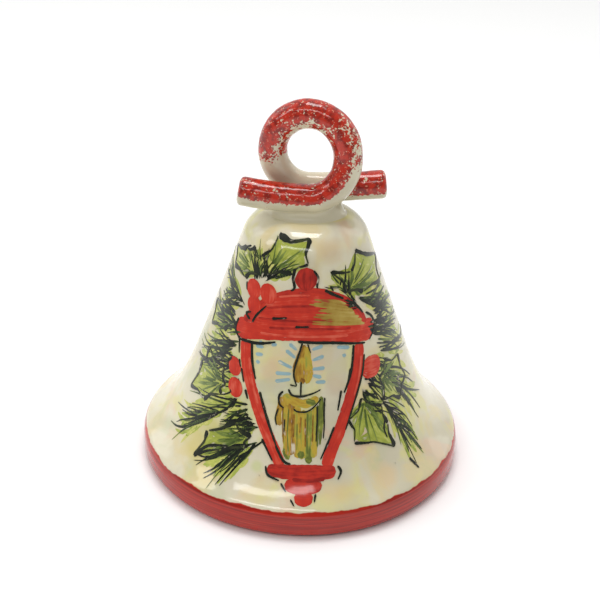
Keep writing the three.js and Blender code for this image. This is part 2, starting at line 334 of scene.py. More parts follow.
def tin_glaze(name, washes=True, band=True):
    """White tin glaze on earthenware: warm white, thin and grey here and there, glossy.

    The washes are 10 to 25 mm across; two grey spots on the sides are painted shade.
    The band's brush marks run round the rim.
    """
    material, tree = new_material(name)
    place = add_node(tree, "ShaderNodeTexCoord").outputs["Object"]
    colour = mixed(tree, noise_share(tree, place, 30, 0.42, 0.75), WHITE_GLAZE, GREY_GLAZE)
    wash_colours = (
        ("#d8c690", (0.11, 0.02, 0.05), 0.6),
        ("#d9b595", (0.31, 0.22, 0.01), 0.5),
        ("#d5cf86", (0.07, 0.41, 0.27), 0.65),
        ("#b3bd8c", (0.53, 0.13, 0.37), 0.35),
        ("#c3b9a6", (0.23, 0.61, 0.17), 0.45),
    )
    for wash, shift, strength in wash_colours if washes else ():
        moved = add_node(tree, "ShaderNodeVectorMath", {0: place, 1: shift}, operation="ADD")
        share = noise_share(tree, moved, 52, 0.53, 0.67, detail=4.0, distortion=0.8)
        weak = add_node(tree, "ShaderNodeMath", {0: share, 1: strength}, operation="MULTIPLY")
        colour = mixed(tree, weak, colour, wash)
    # Round spots of wash, and two grey spots of painted shade on the sides.
    for x, height, size, wash, strength in washes_and_side_shade if washes else ():
        turn = x * MM / outer_radius(height * MM)
        spot = (
            outer_radius(height * MM) * math.sin(turn),
            -outer_radius(height * MM) * math.cos(turn), height * MM,
        )
        gap = add_node(tree, "ShaderNodeVectorMath", {0: place, 1: spot}, operation="DISTANCE")
        ragged = add_node(tree, "ShaderNodeTexNoise", {
            "Vector": place, "Scale": 150.0, "Detail": 3.0,
        }).outputs["Fac"]
        uneven = add_node(tree, "ShaderNodeMath", {
            0: ragged, 1: size * MM, 2: gap.outputs["Value"],
        }, operation="MULTIPLY_ADD")
        share = add_node(tree, "ShaderNodeMapRange", {
            "Value": uneven, "From Min": 1.6 * size * MM, "From Max": 0.9 * size * MM,
            "To Max": strength,
        })
        colour = mixed(tree, share, colour, wash)
    axes = add_node(tree, "ShaderNodeSeparateXYZ", {0: place}).outputs
    if band:
        turn = add_node(tree, "ShaderNodeMath", {0: axes["Y"], 1: axes["X"]}, operation="ARCTAN2")
        swing = add_node(tree, "ShaderNodeCombineXYZ", {"X": turn, "Y": 0.0, "Z": 0.0})
        wobble = add_node(tree, "ShaderNodeTexNoise", {
            "Vector": swing, "Scale": 5.0, "Detail": 3.0, "Roughness": 0.6,
        }).outputs["Fac"]
        edge = add_node(tree, "ShaderNodeMapRange", {
            "Value": wobble, "From Min": 0.3, "From Max": 0.7,
            "To Min": band_top - 0.6 * MM, "To Max": band_top + 0.5 * MM,
        })
        above = add_node(tree, "ShaderNodeMath", {0: edge, 1: axes["Z"]}, operation="SUBTRACT")
        painted = add_node(tree, "ShaderNodeMapRange", {
            "Value": above, "From Min": -0.12 * MM, "From Max": 0.12 * MM,
        })
        ways = add_node(tree, "ShaderNodeMath", {0: axes["X"], 1: axes["X"]}, operation="MULTIPLY")
        across = add_node(tree, "ShaderNodeMath", {
            0: axes["Y"], 1: axes["Y"], 2: ways,
        }, operation="MULTIPLY_ADD")
        far = add_node(tree, "ShaderNodeMath", {0: across}, operation="SQRT")
        outside = add_node(tree, "ShaderNodeMapRange", {
            "Value": far, "From Min": lip_radius - 4.5 * MM, "From Max": lip_radius - 4.2 * MM,
        })
        painted = add_node(tree, "ShaderNodeMath", {0: painted, 1: outside}, operation="MULTIPLY")
        marks = add_node(tree, "ShaderNodeCombineXYZ", {
            "X": turn, "Y": add_node(tree, "ShaderNodeMath", {
                0: axes["Z"], 1: 900.0,
            }, operation="MULTIPLY"), "Z": 0.0,
        })
        red = mixed(tree, noise_share(tree, marks, 1.6, 0.35, 0.7, 4.0), BAND_RED, BAND_DARK)
        red = mixed(tree, noise_share(tree, marks, 2.3, 0.6, 0.8, 5.0), red, BAND_LIGHT)
        colour = mixed(tree, painted, colour, red)
    bare = add_node(tree, "ShaderNodeMapRange", {
        "Value": axes["Z"], "From Min": 0.25 * MM, "From Max": 0.1 * MM,
    })
    colour = mixed(tree, bare, colour, BISCUIT)
    rough = add_node(tree, "ShaderNodeMapRange", {"Value": bare, "To Min": 0.09, "To Max": 0.75})
    finish_glossy(tree, place, colour, rough)
    return material


bell_glaze = tin_glaze("white tin glaze with washes and a red band")
wheel = wheel_tree()


def upright(profiles):
    """Profiles of radius and height, stood up as strands at the bell's front."""
    return strands("profiles", [[(0, -r, z) for r, z in line] for line in profiles])


bell_wall = grown("bell_wall", upright(wall_profiles()), wheel, {
    "Around": 300, "Along": 132, "Waviness": 0.5 * MM, "Glaze": bell_glaze,
})
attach(bell_wall, "bell")
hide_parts("bell_shell")

# ---------------------------------------------------------------------------------------
# The handle. One roll of clay, rolled by hand and cut square at both ends, comes in from the
# front left, makes one upright loop and leaves to the rear right. It is white glazed, and
# red was dabbed on from the front and above, so its undersides stayed white.

coil_radius = 4.65 * MM
loop_half_width = 11.9 * MM
loop_half_height = 13.1 * MM
loop_offset = 0.6 * MM
left_run = 22.3 * MM
right_run = 24.8 * MM
left_lift = 2.1 * MM
right_lift = 1.6 * MM
roll_gap = 0.6 * MM  # between the roll's two ends where they pass each other
roll_side = coil_radius + roll_gap / 2
roll_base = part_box("handle_coil")[1][2] - coil_radius - 2 * loop_half_height
loop_length = math.pi * (loop_half_width + loop_half_height)
roll_length = left_run + loop_length + right_run


def roll_middle(along):
    """The roll's middle line, by how far along the roll it is."""
    if along < left_run:
        back = left_run - along
        lift = left_lift * (back / left_run) ** 2
        return (loop_offset - back, -roll_side, roll_base + lift)
    if along > left_run + loop_length:
        out = along - left_run - loop_length
        lift = right_lift * (out / right_run) ** 2
        return (loop_offset + out, roll_side, roll_base + lift)
    turn = (along - left_run) / loop_length
    angle = 2 * math.pi * turn - math.pi / 2
    across = turn * turn * (3 - 2 * turn)
    return (
        loop_offset + loop_half_width * math.cos(angle),
        roll_side * (2 * across - 1),
        roll_base + loop_half_height * (1 + math.sin(angle)),
    )


def soft_line(tree, strand, step):
    """A strand as a smooth line with even points, and how far along it each point lies."""
    line = add_node(tree, "GeometryNodeMeshToCurve", {"Mesh": strand})
    soft = add_node(tree, "GeometryNodeCurveSplineType", {
        "Curve": line,
    }, spline_type="CATMULL_ROM")
    even = add_node(tree, "GeometryNodeResampleCurve", {
        "Curve": soft, "Length": step,
    }, mode="LENGTH")
    return even, add_node(tree, "GeometryNodeSplineParameter").outputs["Length"]


def fullness(tree, here, length):
    """Rises from 0 at both ends of a line to 1 a length away, as a quarter circle does."""
    whole = add_node(tree, "GeometryNodeSplineLength").outputs["Length"]
    ahead = add_node(tree, "ShaderNodeMath", {0: whole, 1: here}, operation="SUBTRACT")
    to_end = add_node(tree, "ShaderNodeMath", {0: here, 1: ahead}, operation="MINIMUM")
    share = add_node(tree, "ShaderNodeMath", {
        0: to_end, 1: length,
    }, operation="DIVIDE", use_clamp=True)
    missing = add_node(tree, "ShaderNodeMath", {0: 1.0, 1: share}, operation="SUBTRACT")
    square = add_node(tree, "ShaderNodeMath", {0: missing, 1: missing}, operation="MULTIPLY")
    rest = add_node(tree, "ShaderNodeMath", {0: 1.0, 1: square}, operation="SUBTRACT")
    return add_node(tree, "ShaderNodeMath", {0: rest}, operation="SQRT")


def rolled_tree():
    """A round bar along a line, rounded at its cut ends, a little lumpy if it is clay."""
    tree, given = new_tree("rolled or drawn bar", {
        "Radius": "Float", "Step": "Float", "Around": "Int", "Corner": "Float",
        "Lumps": "Float", "Finish": "Material",
    })
    even, here = soft_line(tree, given["Geometry"], given["Step"])
    turn_in = fullness(tree, here, given["Corner"])
    drop = add_node(tree, "ShaderNodeMath", {0: 1.0, 1: turn_in}, operation="SUBTRACT")
    cut = add_node(tree, "ShaderNodeMath", {0: drop, 1: given["Corner"]}, operation="MULTIPLY")
    radius = add_node(tree, "ShaderNodeMath", {0: given["Radius"], 1: cut}, operation="SUBTRACT")
    kept, place = even, add_node(tree, "GeometryNodeInputPosition")
    for name, kind, value in (("along", "FLOAT", here), ("middle", "FLOAT_VECTOR", place)):
        kept = add_node(tree, "GeometryNodeStoreNamedAttribute", {
            "Geometry": kept, "Name": name, "Value": value,
        }, data_type=kind, domain="POINT")
    ring = add_node(tree, "GeometryNodeCurvePrimitiveCircle", {
        "Resolution": given["Around"], "Radius": 1.0,
    })
    bar = add_node(tree, "GeometryNodeCurveToMesh", {
        "Curve": kept, "Profile Curve": ring,
        "Scale": radius, "Fill Caps": True,
    })
    dents = add_node(tree, "ShaderNodeTexNoise", {"Vector": place, "Scale": 110.0, "Detail": 2.0})
    centred = add_node(tree, "ShaderNodeMath", {
        0: dents.outputs["Fac"], 1: 0.5,
    }, operation="SUBTRACT")
    depth = add_node(tree, "ShaderNodeMath", {0: centred, 1: given["Lumps"]}, operation="MULTIPLY")
    outward = add_node(tree, "GeometryNodeInputNormal")
    push = add_node(tree, "ShaderNodeVectorMath", {0: outward, "Scale": depth}, operation="SCALE")
    lumpy = add_node(tree, "GeometryNodeSetPosition", {"Geometry": bar, "Offset": push})
    smooth = add_node(tree, "GeometryNodeSetShadeSmooth", {"Geometry": lumpy})
    end_tree(tree, smooth, given["Finish"])
    return tree


def dabbed_red():
    """Red dabbed over white glaze with a sponge: ragged edges and flecks 1 to 3 mm across."""
    material, tree = new_material("red pigment dabbed over white glaze")
    place = add_node(tree, "ShaderNodeTexCoord").outputs["Object"]
    cover = add_node(tree, "ShaderNodeAttribute", attribute_name="red_cover").outputs["Fac"]
    white = mixed(tree, noise_share(tree, place, 60, 0.4, 0.7), WHITE_GLAZE, GREY_GLAZE)
    patches = add_node(tree, "ShaderNodeTexNoise", {
        "Vector": place, "Scale": 420.0, "Detail": 4.0, "Roughness": 0.62, "Distortion": 0.4,
    }).outputs["Fac"]
    flecks = add_node(tree, "ShaderNodeTexNoise", {
        "Vector": place, "Scale": 1500.0, "Detail": 2.0,
    }).outputs["Fac"]
    fine = add_node(tree, "ShaderNodeMath", {0: flecks, 1: 1.5}, operation="MULTIPLY")
    both = add_node(tree, "ShaderNodeMath", {
        0: patches, 1: 1.9, 2: fine,
    }, operation="MULTIPLY_ADD")
    centred = add_node(tree, "ShaderNodeMath", {0: both, 1: 1.7}, operation="SUBTRACT")
    amount = add_node(tree, "ShaderNodeMath", {0: centred, 1: cover}, operation="ADD")
    painted = add_node(tree, "ShaderNodeMapRange", {
        "Value": amount, "From Min": 0.46, "From Max": 0.56,
    })
    red = mixed(tree, noise_share(tree, place, 520, 0.42, 0.64, 5.0), "#bd2c16", "#84180b")
    red = mixed(tree, noise_share(tree, place, 1300, 0.6, 0.72, 5.0), red, "#dd8d72")
    colour = mixed(tree, painted, white, red)
    finish_glossy(tree, place, colour, 0.1, scale=420.0, detail=3.0)
    return material


def smooth_step(value, low, high):
    """A share that eases from 0 at low to 1 at high."""
    share = min(max((value - low) / (high - low), 0), 1)
    return share * share * (3 - 2 * share)


def red_cover(along, facing):
    """How well the dabbed red covers a place on the roll, from 0 to 1."""
    upward = facing.dot(Vector((0, -0.2, 0.98)))
    cover = 0.88 * smooth_step(upward, -0.06, 0.24)
    bend = smooth_step(along, left_run + 1 * MM, left_run + 8 * MM)
    bend_outside = facing.dot(Vector((0.6, -0.25, -0.76)))
    cover = cover * (1 - bend) + bend * 0.86 * (1 - smooth_step(bend_outside, 0.25, 0.5))
    standing = smooth_step(along, left_run + 14 * MM, left_run + 20 * MM)
    right_flank = smooth_step(facing.dot(Vector((0.75, -0.66, 0))), 0.5, 1.0)
    cover = cover * (1 - standing) + standing * (0.86 - 0.3 * right_flank)
    top = 1 - smooth_step(abs(along - left_run - loop_length / 2), 6 * MM, 15 * MM)
    cover -= 0.42 * top * smooth_step(-facing.z, -0.2, 0.6)
    down_left = left_run + 0.775 * loop_length
    cover *= 1 - smooth_step(along, down_left - 2 * MM, down_left + 2.5 * MM)
    last = smooth_step(along, roll_length - 13 * MM, roll_length - 9 * MM)
    return cover + last * 0.86 * smooth_step(upward, -0.35, 0.0)


roll_steps = 120
roll_line = [roll_middle(roll_length * i / roll_steps) for i in range(roll_steps + 1)]
rolling = rolled_tree()
handle_roll = grown("handle_roll", strands("roll_line", [roll_line]), rolling, {
    "Radius": coil_radius, "Step": 0.4 * MM, "Around": 48, "Corner": 1.6 * MM,
    "Lumps": 0.7 * MM, "Finish": dabbed_red(),
})
mesh = handle_roll.data
red = mesh.attributes.new("red_cover", "FLOAT", "POINT")
for vertex, along, middle in zip(
    mesh.vertices, mesh.attributes["along"].data, mesh.attributes["middle"].data
):
    facing = (vertex.co - Vector(middle.vector)).normalized()
    red.data[vertex.index].value = red_cover(along.value, facing)
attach(handle_roll, "bell")
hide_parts("handle_coil")

# ---------------------------------------------------------------------------------------
# The saddle. Soft clay that sticks the roll to the crown, and the roll to itself where it
# crosses. It was smoothed with a wet finger, so it fills every corner with a small fillet.


def turned_solid(profile, segments):
    """Points and faces of a closed solid from a profile that starts and ends on the axis."""
    points, faces = [], []
    for radius, height in profile:
        for i in range(segments):
            angle = 2 * math.pi * i / segments
            points.append((radius * math.cos(angle), radius * math.sin(angle), height))
    for row in range(len(profile) - 1):
        for i in range(segments):
            j = (i + 1) % segments
            low, high = row * segments, (row + 1) * segments
            faces.append((low + i, low + j, high + j, high + i))
    return points, faces


def moulded(name, parts, voxel, rounds, shrink, material):
    """Presses solids into one lump of clay and smooths it."""
    points, faces = [], []
    for part_points, part_faces in parts:
        start = len(points)
        points += [tuple(point) for point in part_points]
        faces += [tuple(start + i for i in face) for face in part_faces]
    mesh = bpy.data.meshes.new(name)
    mesh.from_pydata(points, [], faces)
    lump = bpy.data.objects.new(name + "_lump", mesh)
    bpy.context.scene.collection.objects.link(lump)
    press = lump.modifiers.new("press", "REMESH")
    press.mode = "VOXEL"
    press.voxel_size = voxel
    wipe = lump.modifiers.new("wipe", "SMOOTH")
    wipe.factor = 0.5
    wipe.iterations = rounds
    sink = lump.modifiers.new("sink", "DISPLACE")
    sink.strength = -shrink
    sink.mid_level = 0
    evaluated = lump.evaluated_get(bpy.context.evaluated_depsgraph_get())
    made = bpy.data.objects.new(name, bpy.data.meshes.new_from_object(evaluated))
    bpy.data.objects.remove(lump)
    bpy.context.scene.collection.objects.link(made)
    made.data.name = name
    made.data.materials.clear()
    made.data.materials.append(material)
    for face in made.data.polygons:
        face.use_smooth = True
    return made


pad_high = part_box("handle_saddle")[1]
pad_steps = 16
pad_angles = [math.pi * i / pad_steps for i in range(pad_steps + 1)]
pad_profile = [(math.sin(angle), -math.cos(angle)) for angle in pad_angles]
pad_points, pad_faces = turned_solid(pad_profile, 32)
pad_points = [
    (x * pad_high[0], y * pad_high[1], bell_height + z * (pad_high[2] - bell_height))
    for x, y, z in pad_points
]
crown_floor = bell_height - 0.8 * crown_thickness
shoulder = [point for point in wall_profiles()[0] if point[1] > crown_floor]
crown_part = turned_solid([(0, shoulder[0][1])] + shoulder, 64)
roll_part = (
    [vertex.co for vertex in handle_roll.data.vertices],
    [face.vertices for face in handle_roll.data.polygons],
)
saddle = moulded(
    "saddle", [roll_part, (pad_points, pad_faces), crown_part],
    voxel=0.5 * MM, rounds=28, shrink=0.12 * MM,
    material=tin_glaze("white tin glaze over soft clay", washes=False, band=False),
)
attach(saddle, "bell")
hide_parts("handle_saddle")

# ---------------------------------------------------------------------------------------
# The clapper bar and its wads. A hand-cut bar of clay across the crown, inside, with a hole
# poked through for the wire. A wad of soft clay holds each end to the wall. Left unglazed.


def biscuit_clay():
    """Biscuit-fired earthenware: matt, warm buff, with grog specks 0.5 mm across."""
    material, tree = new_material("biscuit earthenware")
    place = add_node(tree, "ShaderNodeTexCoord").outputs["Object"]
    colour = mixed(tree, noise_share(tree, place, 180, 0.35, 0.7, 5.0), BISCUIT, "#dcc7a6")
    colour = mixed(tree, noise_share(tree, place, 1900, 0.66, 0.72), colour, "#8f6a4a")
    finish_glossy(tree, place, colour, 0.78, scale=1500.0, detail=3.0, depth=0.06 * MM, ior=1.45)
    return material


def node_solid(node):
    """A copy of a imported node's solid."""
    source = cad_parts[node].data
    return (
        [vertex.co.copy() for vertex in source.vertices],
        [tuple(face.vertices) for face in source.polygons],
    )


biscuit = biscuit_clay()
for node in ("clapper_bar", "bar_wad_left", "bar_wad_right"):
    clay = moulded(
        node.replace("clapper", "clay").replace("bar_wad", "clay_wad"), [node_solid(node)],
        voxel=0.3 * MM, rounds=3, shrink=0, material=biscuit,
    )
    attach(clay, "bell")
    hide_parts(node)

# ---------------------------------------------------------------------------------------
# The hanger. A steel wire curled flat on top of a washer, down through the bar, with an eye
# bent at its foot. It turns freely in the bar's hole.


def drawn_steel():
    """Drawn steel wire: bright, with a dull skin and fine marks along it."""
    material, tree = new_material("drawn steel wire")
    place = add_node(tree, "ShaderNodeTexCoord").outputs["Object"]
    colour = mixed(tree, noise_share(tree, place, 900, 0.4, 0.7, 4.0), "#b9bbbd", "#85817b")
    shader = add_node(tree, "ShaderNodeBsdfPrincipled", {
        "Base Color": colour, "Metallic": 1.0, "Roughness": 0.34,
    })
    add_node(tree, "ShaderNodeOutputMaterial", {"Surface": shader})
    return material


steel = drawn_steel()
wire_radius = 0.8 * MM
eye_radius = 3 * MM
curl_radius = 2.6 * MM
bend = 1.6 * wire_radius
hook_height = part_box("hanger_wire")[1][2] - wire_radius
link_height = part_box("hanger_wire")[0][2] + wire_radius
hanger_eye = link_height + eye_radius


def eye_points(centre, towards, across):
    """Points round an eye, from beside its shank to the wire's end."""
    points = []
    for degrees in range(55, 306, 25):
        angle = math.radians(degrees)
        side = eye_radius * math.sin(angle)
        height = centre + towards * eye_radius * math.cos(angle)
        points.append((across[0] * side, across[1] * side, height))
    return points


def curl_points(height, towards):
    """Points round a flat curl, from the wire's end in to the shank."""
    points = []
    for degrees in range(60, 361, 30):
        angle = math.radians(degrees)
        points.append((curl_radius * math.cos(angle), curl_radius * math.sin(angle), height))
    points.append((curl_radius / 2, 0, height))
    return points + [(0, 0, height + towards * bend), (0, 0, height + 2 * towards * bend)]


def bent_wire(name, line):
    """Steel wire along a line of points, with a small round at both cut ends."""
    return grown(name, strands(name + "_line", [line]), rolling, {
        "Radius": wire_radius, "Step": 0.25 * MM, "Around": 16, "Corner": 0.25 * MM,
        "Lumps": 0.0, "Finish": steel,
    })


neck = 1.7 * wire_radius
hanger_line = curl_points(hook_height, -1) + [
    (0, 0, (hook_height + hanger_eye) / 2),
    (0, 0, hanger_eye + eye_radius + neck),
] + eye_points(hanger_eye, 1, (1, 0))
hanger = bent_wire("hanger", hanger_line)
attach(hanger, "hanger")
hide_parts("hanger_wire")

washer_low, washer_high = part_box("hanger_washer")
bore = wire_radius + 0.6 * MM
edge = 0.15 * MM
washer_outside = [
    (bore, washer_low[2]), (washer_high[0] - edge, washer_low[2]),
    (washer_high[0], washer_low[2] + edge), (washer_high[0], washer_high[2] - edge),
    (washer_high[0] - edge, washer_high[2]), (bore, washer_high[2]),
]
washer_inside = [(bore, washer_low[2]), (bore, washer_high[2])]
washer = grown("washer", upright((washer_outside, washer_inside)), wheel, {
    "Around": 48, "Along": 30, "Waviness": 0.0, "Glaze": steel,
})
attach(washer, "hanger")
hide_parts("hanger_washer")

# ---------------------------------------------------------------------------------------
# The clapper. A glazed bead on a second steel wire, held by a curl below it. The wire's top
# eye hangs in the hanger's eye, so the bead can swing out to the wall.

clapper_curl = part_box("clapper_wire")[0][2] + wire_radius
clapper_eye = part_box("clapper_wire")[1][2] - wire_radius - eye_radius
clapper_line = curl_points(clapper_curl, 1) + [
    (0, 0, (clapper_curl + clapper_eye) / 2),
    (0, 0, clapper_eye - eye_radius - neck),
] + eye_points(clapper_eye, -1, (0, 1))
clapper_stem = bent_wire("clapper_stem", clapper_line)
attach(clapper_stem, "clapper")
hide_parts("clapper_wire")

ball_low, ball_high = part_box("clapper_ball")
ball_radius = ball_high[0]
ball_height = (ball_low[2] + ball_high[2]) / 2
hole_angle = math.asin(bore / ball_radius)
ball_outside = []
ball_steps = 60
for i in range(ball_steps + 1):
    angle = hole_angle + (math.pi - 2 * hole_angle) * i / ball_steps
    ball_outside.append((
        ball_radius * math.sin(angle), ball_height - ball_radius * math.cos(angle),
    ))
ball_inside = [(bore, ball_outside[0][1]), (bore, ball_outside[-1][1])]
bead = grown("clapper_bead", upright((ball_outside, ball_inside)), wheel, {
    "Around": 72, "Along": 60, "Waviness": 0.25 * MM,
    "Glaze": tin_glaze("white tin glaze on the bead", washes=False, band=False),
})
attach(bead, "clapper")
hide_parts("clapper_ball")

# ---------------------------------------------------------------------------------------
# The painted lantern. Each brush stroke is a thin coat of pigment on the wall, laid down wet
# and fired with the glaze, so it has the wall's gloss. Places on the wall are given in mm as
# the distance round it from the front, to the right, and the height above the foot.


def brush_tree():
    """Lays strokes drawn on a flat plan onto the bell's wall, as thin closed coats."""
    tree, given = new_tree("brush strokes on the wall", {
        "Wall": "Object", "Turn": "Float", "Layer": "Float", "Each": "Float", "Sink": "Float",
        "Step": "Float", "Strips": "Int", "Ragged": "Float", "Pigment": "Material",
    })
    even, here = soft_line(tree, given["Geometry"], given["Step"])
    flat = add_node(tree, "GeometryNodeSetCurveNormal", {"Curve": even}, mode="Z_UP")
    width = add_node(tree, "GeometryNodeInputNamedAttribute", {"Name": "width"}, data_type="FLOAT")
    rounded_end = fullness(tree, here, width)
    plan = add_node(tree, "GeometryNodeInputPosition")
    wobble = add_node(tree, "ShaderNodeTexNoise", {"Vector": plan, "Scale": 700.0, "Detail": 2.0})
    uneven = add_node(tree, "ShaderNodeMapRange", {
        "Value": wobble.outputs["Fac"], "From Min": 0.3, "From Max": 0.7,
        "To Min": -0.5, "To Max": 0.5,
    })
    swell = add_node(tree, "ShaderNodeMath", {
        0: uneven, 1: given["Ragged"], 2: 1.0,
    }, operation="MULTIPLY_ADD")
    shaped = add_node(tree, "ShaderNodeMath", {0: rounded_end, 1: swell}, operation="MULTIPLY")
    reach = add_node(tree, "ShaderNodeMath", {0: width, 1: shaped}, operation="MULTIPLY")
    half = add_node(tree, "ShaderNodeMath", {0: reach, 1: 0.01 * MM}, operation="MAXIMUM")
    kept = add_node(tree, "GeometryNodeStoreNamedAttribute", {
        "Geometry": flat, "Name": "along", "Value": here,
    }, data_type="FLOAT", domain="POINT")

    # The brush is a flat ring: a row of points over the coat, and a row back under it.
    pitch = add_node(tree, "ShaderNodeMath", {0: 2.0, 1: given["Strips"]}, operation="DIVIDE")
    offset = add_node(tree, "ShaderNodeCombineXYZ", {"X": pitch, "Y": 0.0, "Z": 0.0})
    points = add_node(tree, "ShaderNodeMath", {0: given["Strips"], 1: 2.0}, operation="MULTIPLY")
    hairs = add_node(tree, "GeometryNodeMeshLine", {
        "Count": points, "Start Location": (-1, 0, 0), "Offset": offset,
    })
    hair_line = add_node(tree, "GeometryNodeMeshToCurve", {"Mesh": hairs})
    round_ring = add_node(tree, "ShaderNodeSeparateXYZ", {
        0: add_node(tree, "GeometryNodeInputPosition"),
    }).outputs["X"]
    way_back = add_node(tree, "ShaderNodeMath", {0: 2.0, 1: round_ring}, operation="SUBTRACT")
    side = add_node(tree, "ShaderNodeMath", {0: round_ring, 1: way_back}, operation="MINIMUM")
    inner = add_node(tree, "ShaderNodeMath", {0: 1.0, 1: pitch}, operation="SUBTRACT")
    spread = add_node(tree, "ShaderNodeMath", {0: 0.96, 1: inner}, operation="DIVIDE")
    wide = add_node(tree, "ShaderNodeMath", {0: side, 1: spread}, operation="MULTIPLY")
    size = add_node(tree, "ShaderNodeMath", {0: round_ring}, operation="ABSOLUTE")
    under = add_node(tree, "ShaderNodeMath", {0: size, 1: 0.999}, operation="GREATER_THAN")
    across = add_node(tree, "ShaderNodeMix", {
        "Factor": under, 2: wide, 3: side,
    }, data_type="FLOAT")
    flat_ring = add_node(tree, "ShaderNodeCombineXYZ", {"X": across, "Y": 0.0, "Z": 0.0})
    named = add_node(tree, "GeometryNodeStoreNamedAttribute", {
        "Geometry": hair_line, "Name": "across", "Value": side,
    }, data_type="FLOAT", domain="POINT")
    marked = add_node(tree, "GeometryNodeStoreNamedAttribute", {
        "Geometry": named, "Name": "under", "Value": under,
    }, data_type="FLOAT", domain="POINT")
    ring = add_node(tree, "GeometryNodeSetPosition", {"Geometry": marked, "Position": flat_ring})
    closed = add_node(tree, "GeometryNodeSetSplineCyclic", {"Geometry": ring, "Cyclic": True})
    coat = add_node(tree, "GeometryNodeCurveToMesh", {
        "Curve": kept, "Profile Curve": closed,
        "Scale": half, "Fill Caps": True,
    })

    wall = add_node(tree, "GeometryNodeObjectInfo", {"Object": given["Wall"]}).outputs["Geometry"]
    wall_normal = add_node(tree, "GeometryNodeInputNormal")
    spot = add_node(tree, "ShaderNodeSeparateXYZ", {
        0: add_node(tree, "GeometryNodeInputPosition"),
    }).outputs
    in_front = add_node(tree, "ShaderNodeCombineXYZ", {"X": 0.0, "Y": -0.2, "Z": spot["Y"]})
    first = add_node(tree, "GeometryNodeRaycast", {
        "Target Geometry": wall, "Source Position": in_front,
        "Ray Direction": (0, 1, 0), "Ray Length": 0.4,
    })
    hit_y = add_node(tree, "ShaderNodeSeparateXYZ", {
        0: first.outputs["Hit Position"],
    }).outputs["Y"]
    angle = add_node(tree, "ShaderNodeMath", {0: spot["X"], 1: hit_y}, operation="DIVIDE")
    turned = add_node(tree, "ShaderNodeMath", {0: given["Turn"], 1: angle}, operation="SUBTRACT")
    sine = add_node(tree, "ShaderNodeMath", {0: turned}, operation="SINE")
    cosine = add_node(tree, "ShaderNodeMath", {0: turned}, operation="COSINE")
    back = add_node(tree, "ShaderNodeMath", {0: cosine, 1: -1.0}, operation="MULTIPLY")
    outward = add_node(tree, "ShaderNodeCombineXYZ", {"X": sine, "Y": back, "Z": 0.0})
    inward = add_node(tree, "ShaderNodeVectorMath", {0: outward, "Scale": -1.0}, operation="SCALE")
    far = add_node(tree, "ShaderNodeVectorMath", {0: outward, "Scale": 0.2}, operation="SCALE")
    height = add_node(tree, "ShaderNodeCombineXYZ", {"X": 0.0, "Y": 0.0, "Z": spot["Y"]})
    outside = add_node(tree, "ShaderNodeVectorMath", {0: far, 1: height}, operation="ADD")
    second = add_node(tree, "GeometryNodeRaycast", {
        "Target Geometry": wall, "Attribute": wall_normal,
        "Source Position": outside, "Ray Direction": inward,
        "Ray Length": 0.4,
    }, data_type="FLOAT_VECTOR")
    skin = add_node(tree, "GeometryNodeStoreNamedAttribute", {
        "Geometry": coat, "Name": "skin", "Value": second.outputs["Attribute"],
    }, data_type="FLOAT_VECTOR", domain="POINT")
    skin_normal = add_node(tree, "GeometryNodeInputNamedAttribute", {
        "Name": "skin",
    }, data_type="FLOAT_VECTOR")
    order = add_node(tree, "GeometryNodeInputNamedAttribute", {
        "Name": "stroke",
    }, data_type="FLOAT")
    top = add_node(tree, "ShaderNodeMath", {
        0: order, 1: given["Each"], 2: given["Layer"],
    }, operation="MULTIPLY_ADD")
    at_edge = add_node(tree, "GeometryNodeInputNamedAttribute", {
        "Name": "under",
    }, data_type="FLOAT")
    buried = add_node(tree, "ShaderNodeMath", {0: given["Sink"], 1: -1.0}, operation="MULTIPLY")
    lift = add_node(tree, "ShaderNodeMix", {
        "Factor": at_edge, 2: top, 3: buried,
    }, data_type="FLOAT")
    raised = add_node(tree, "ShaderNodeVectorMath", {
        0: second.outputs["Attribute"], "Scale": lift,
    }, operation="SCALE")
    final = add_node(tree, "ShaderNodeVectorMath", {
        0: second.outputs["Hit Position"], 1: raised,
    }, operation="ADD")
    laid = add_node(tree, "GeometryNodeSetPosition", {"Geometry": skin, "Position": final})
    smooth = add_node(tree, "GeometryNodeSetShadeSmooth", {"Geometry": laid})
    level = add_node(tree, "GeometryNodeSetMeshNormal", {
        "Mesh": smooth, "Custom Normal": skin_normal,
    }, mode="FREE", domain="POINT")
    end_tree(tree, level, given["Pigment"])
    return tree


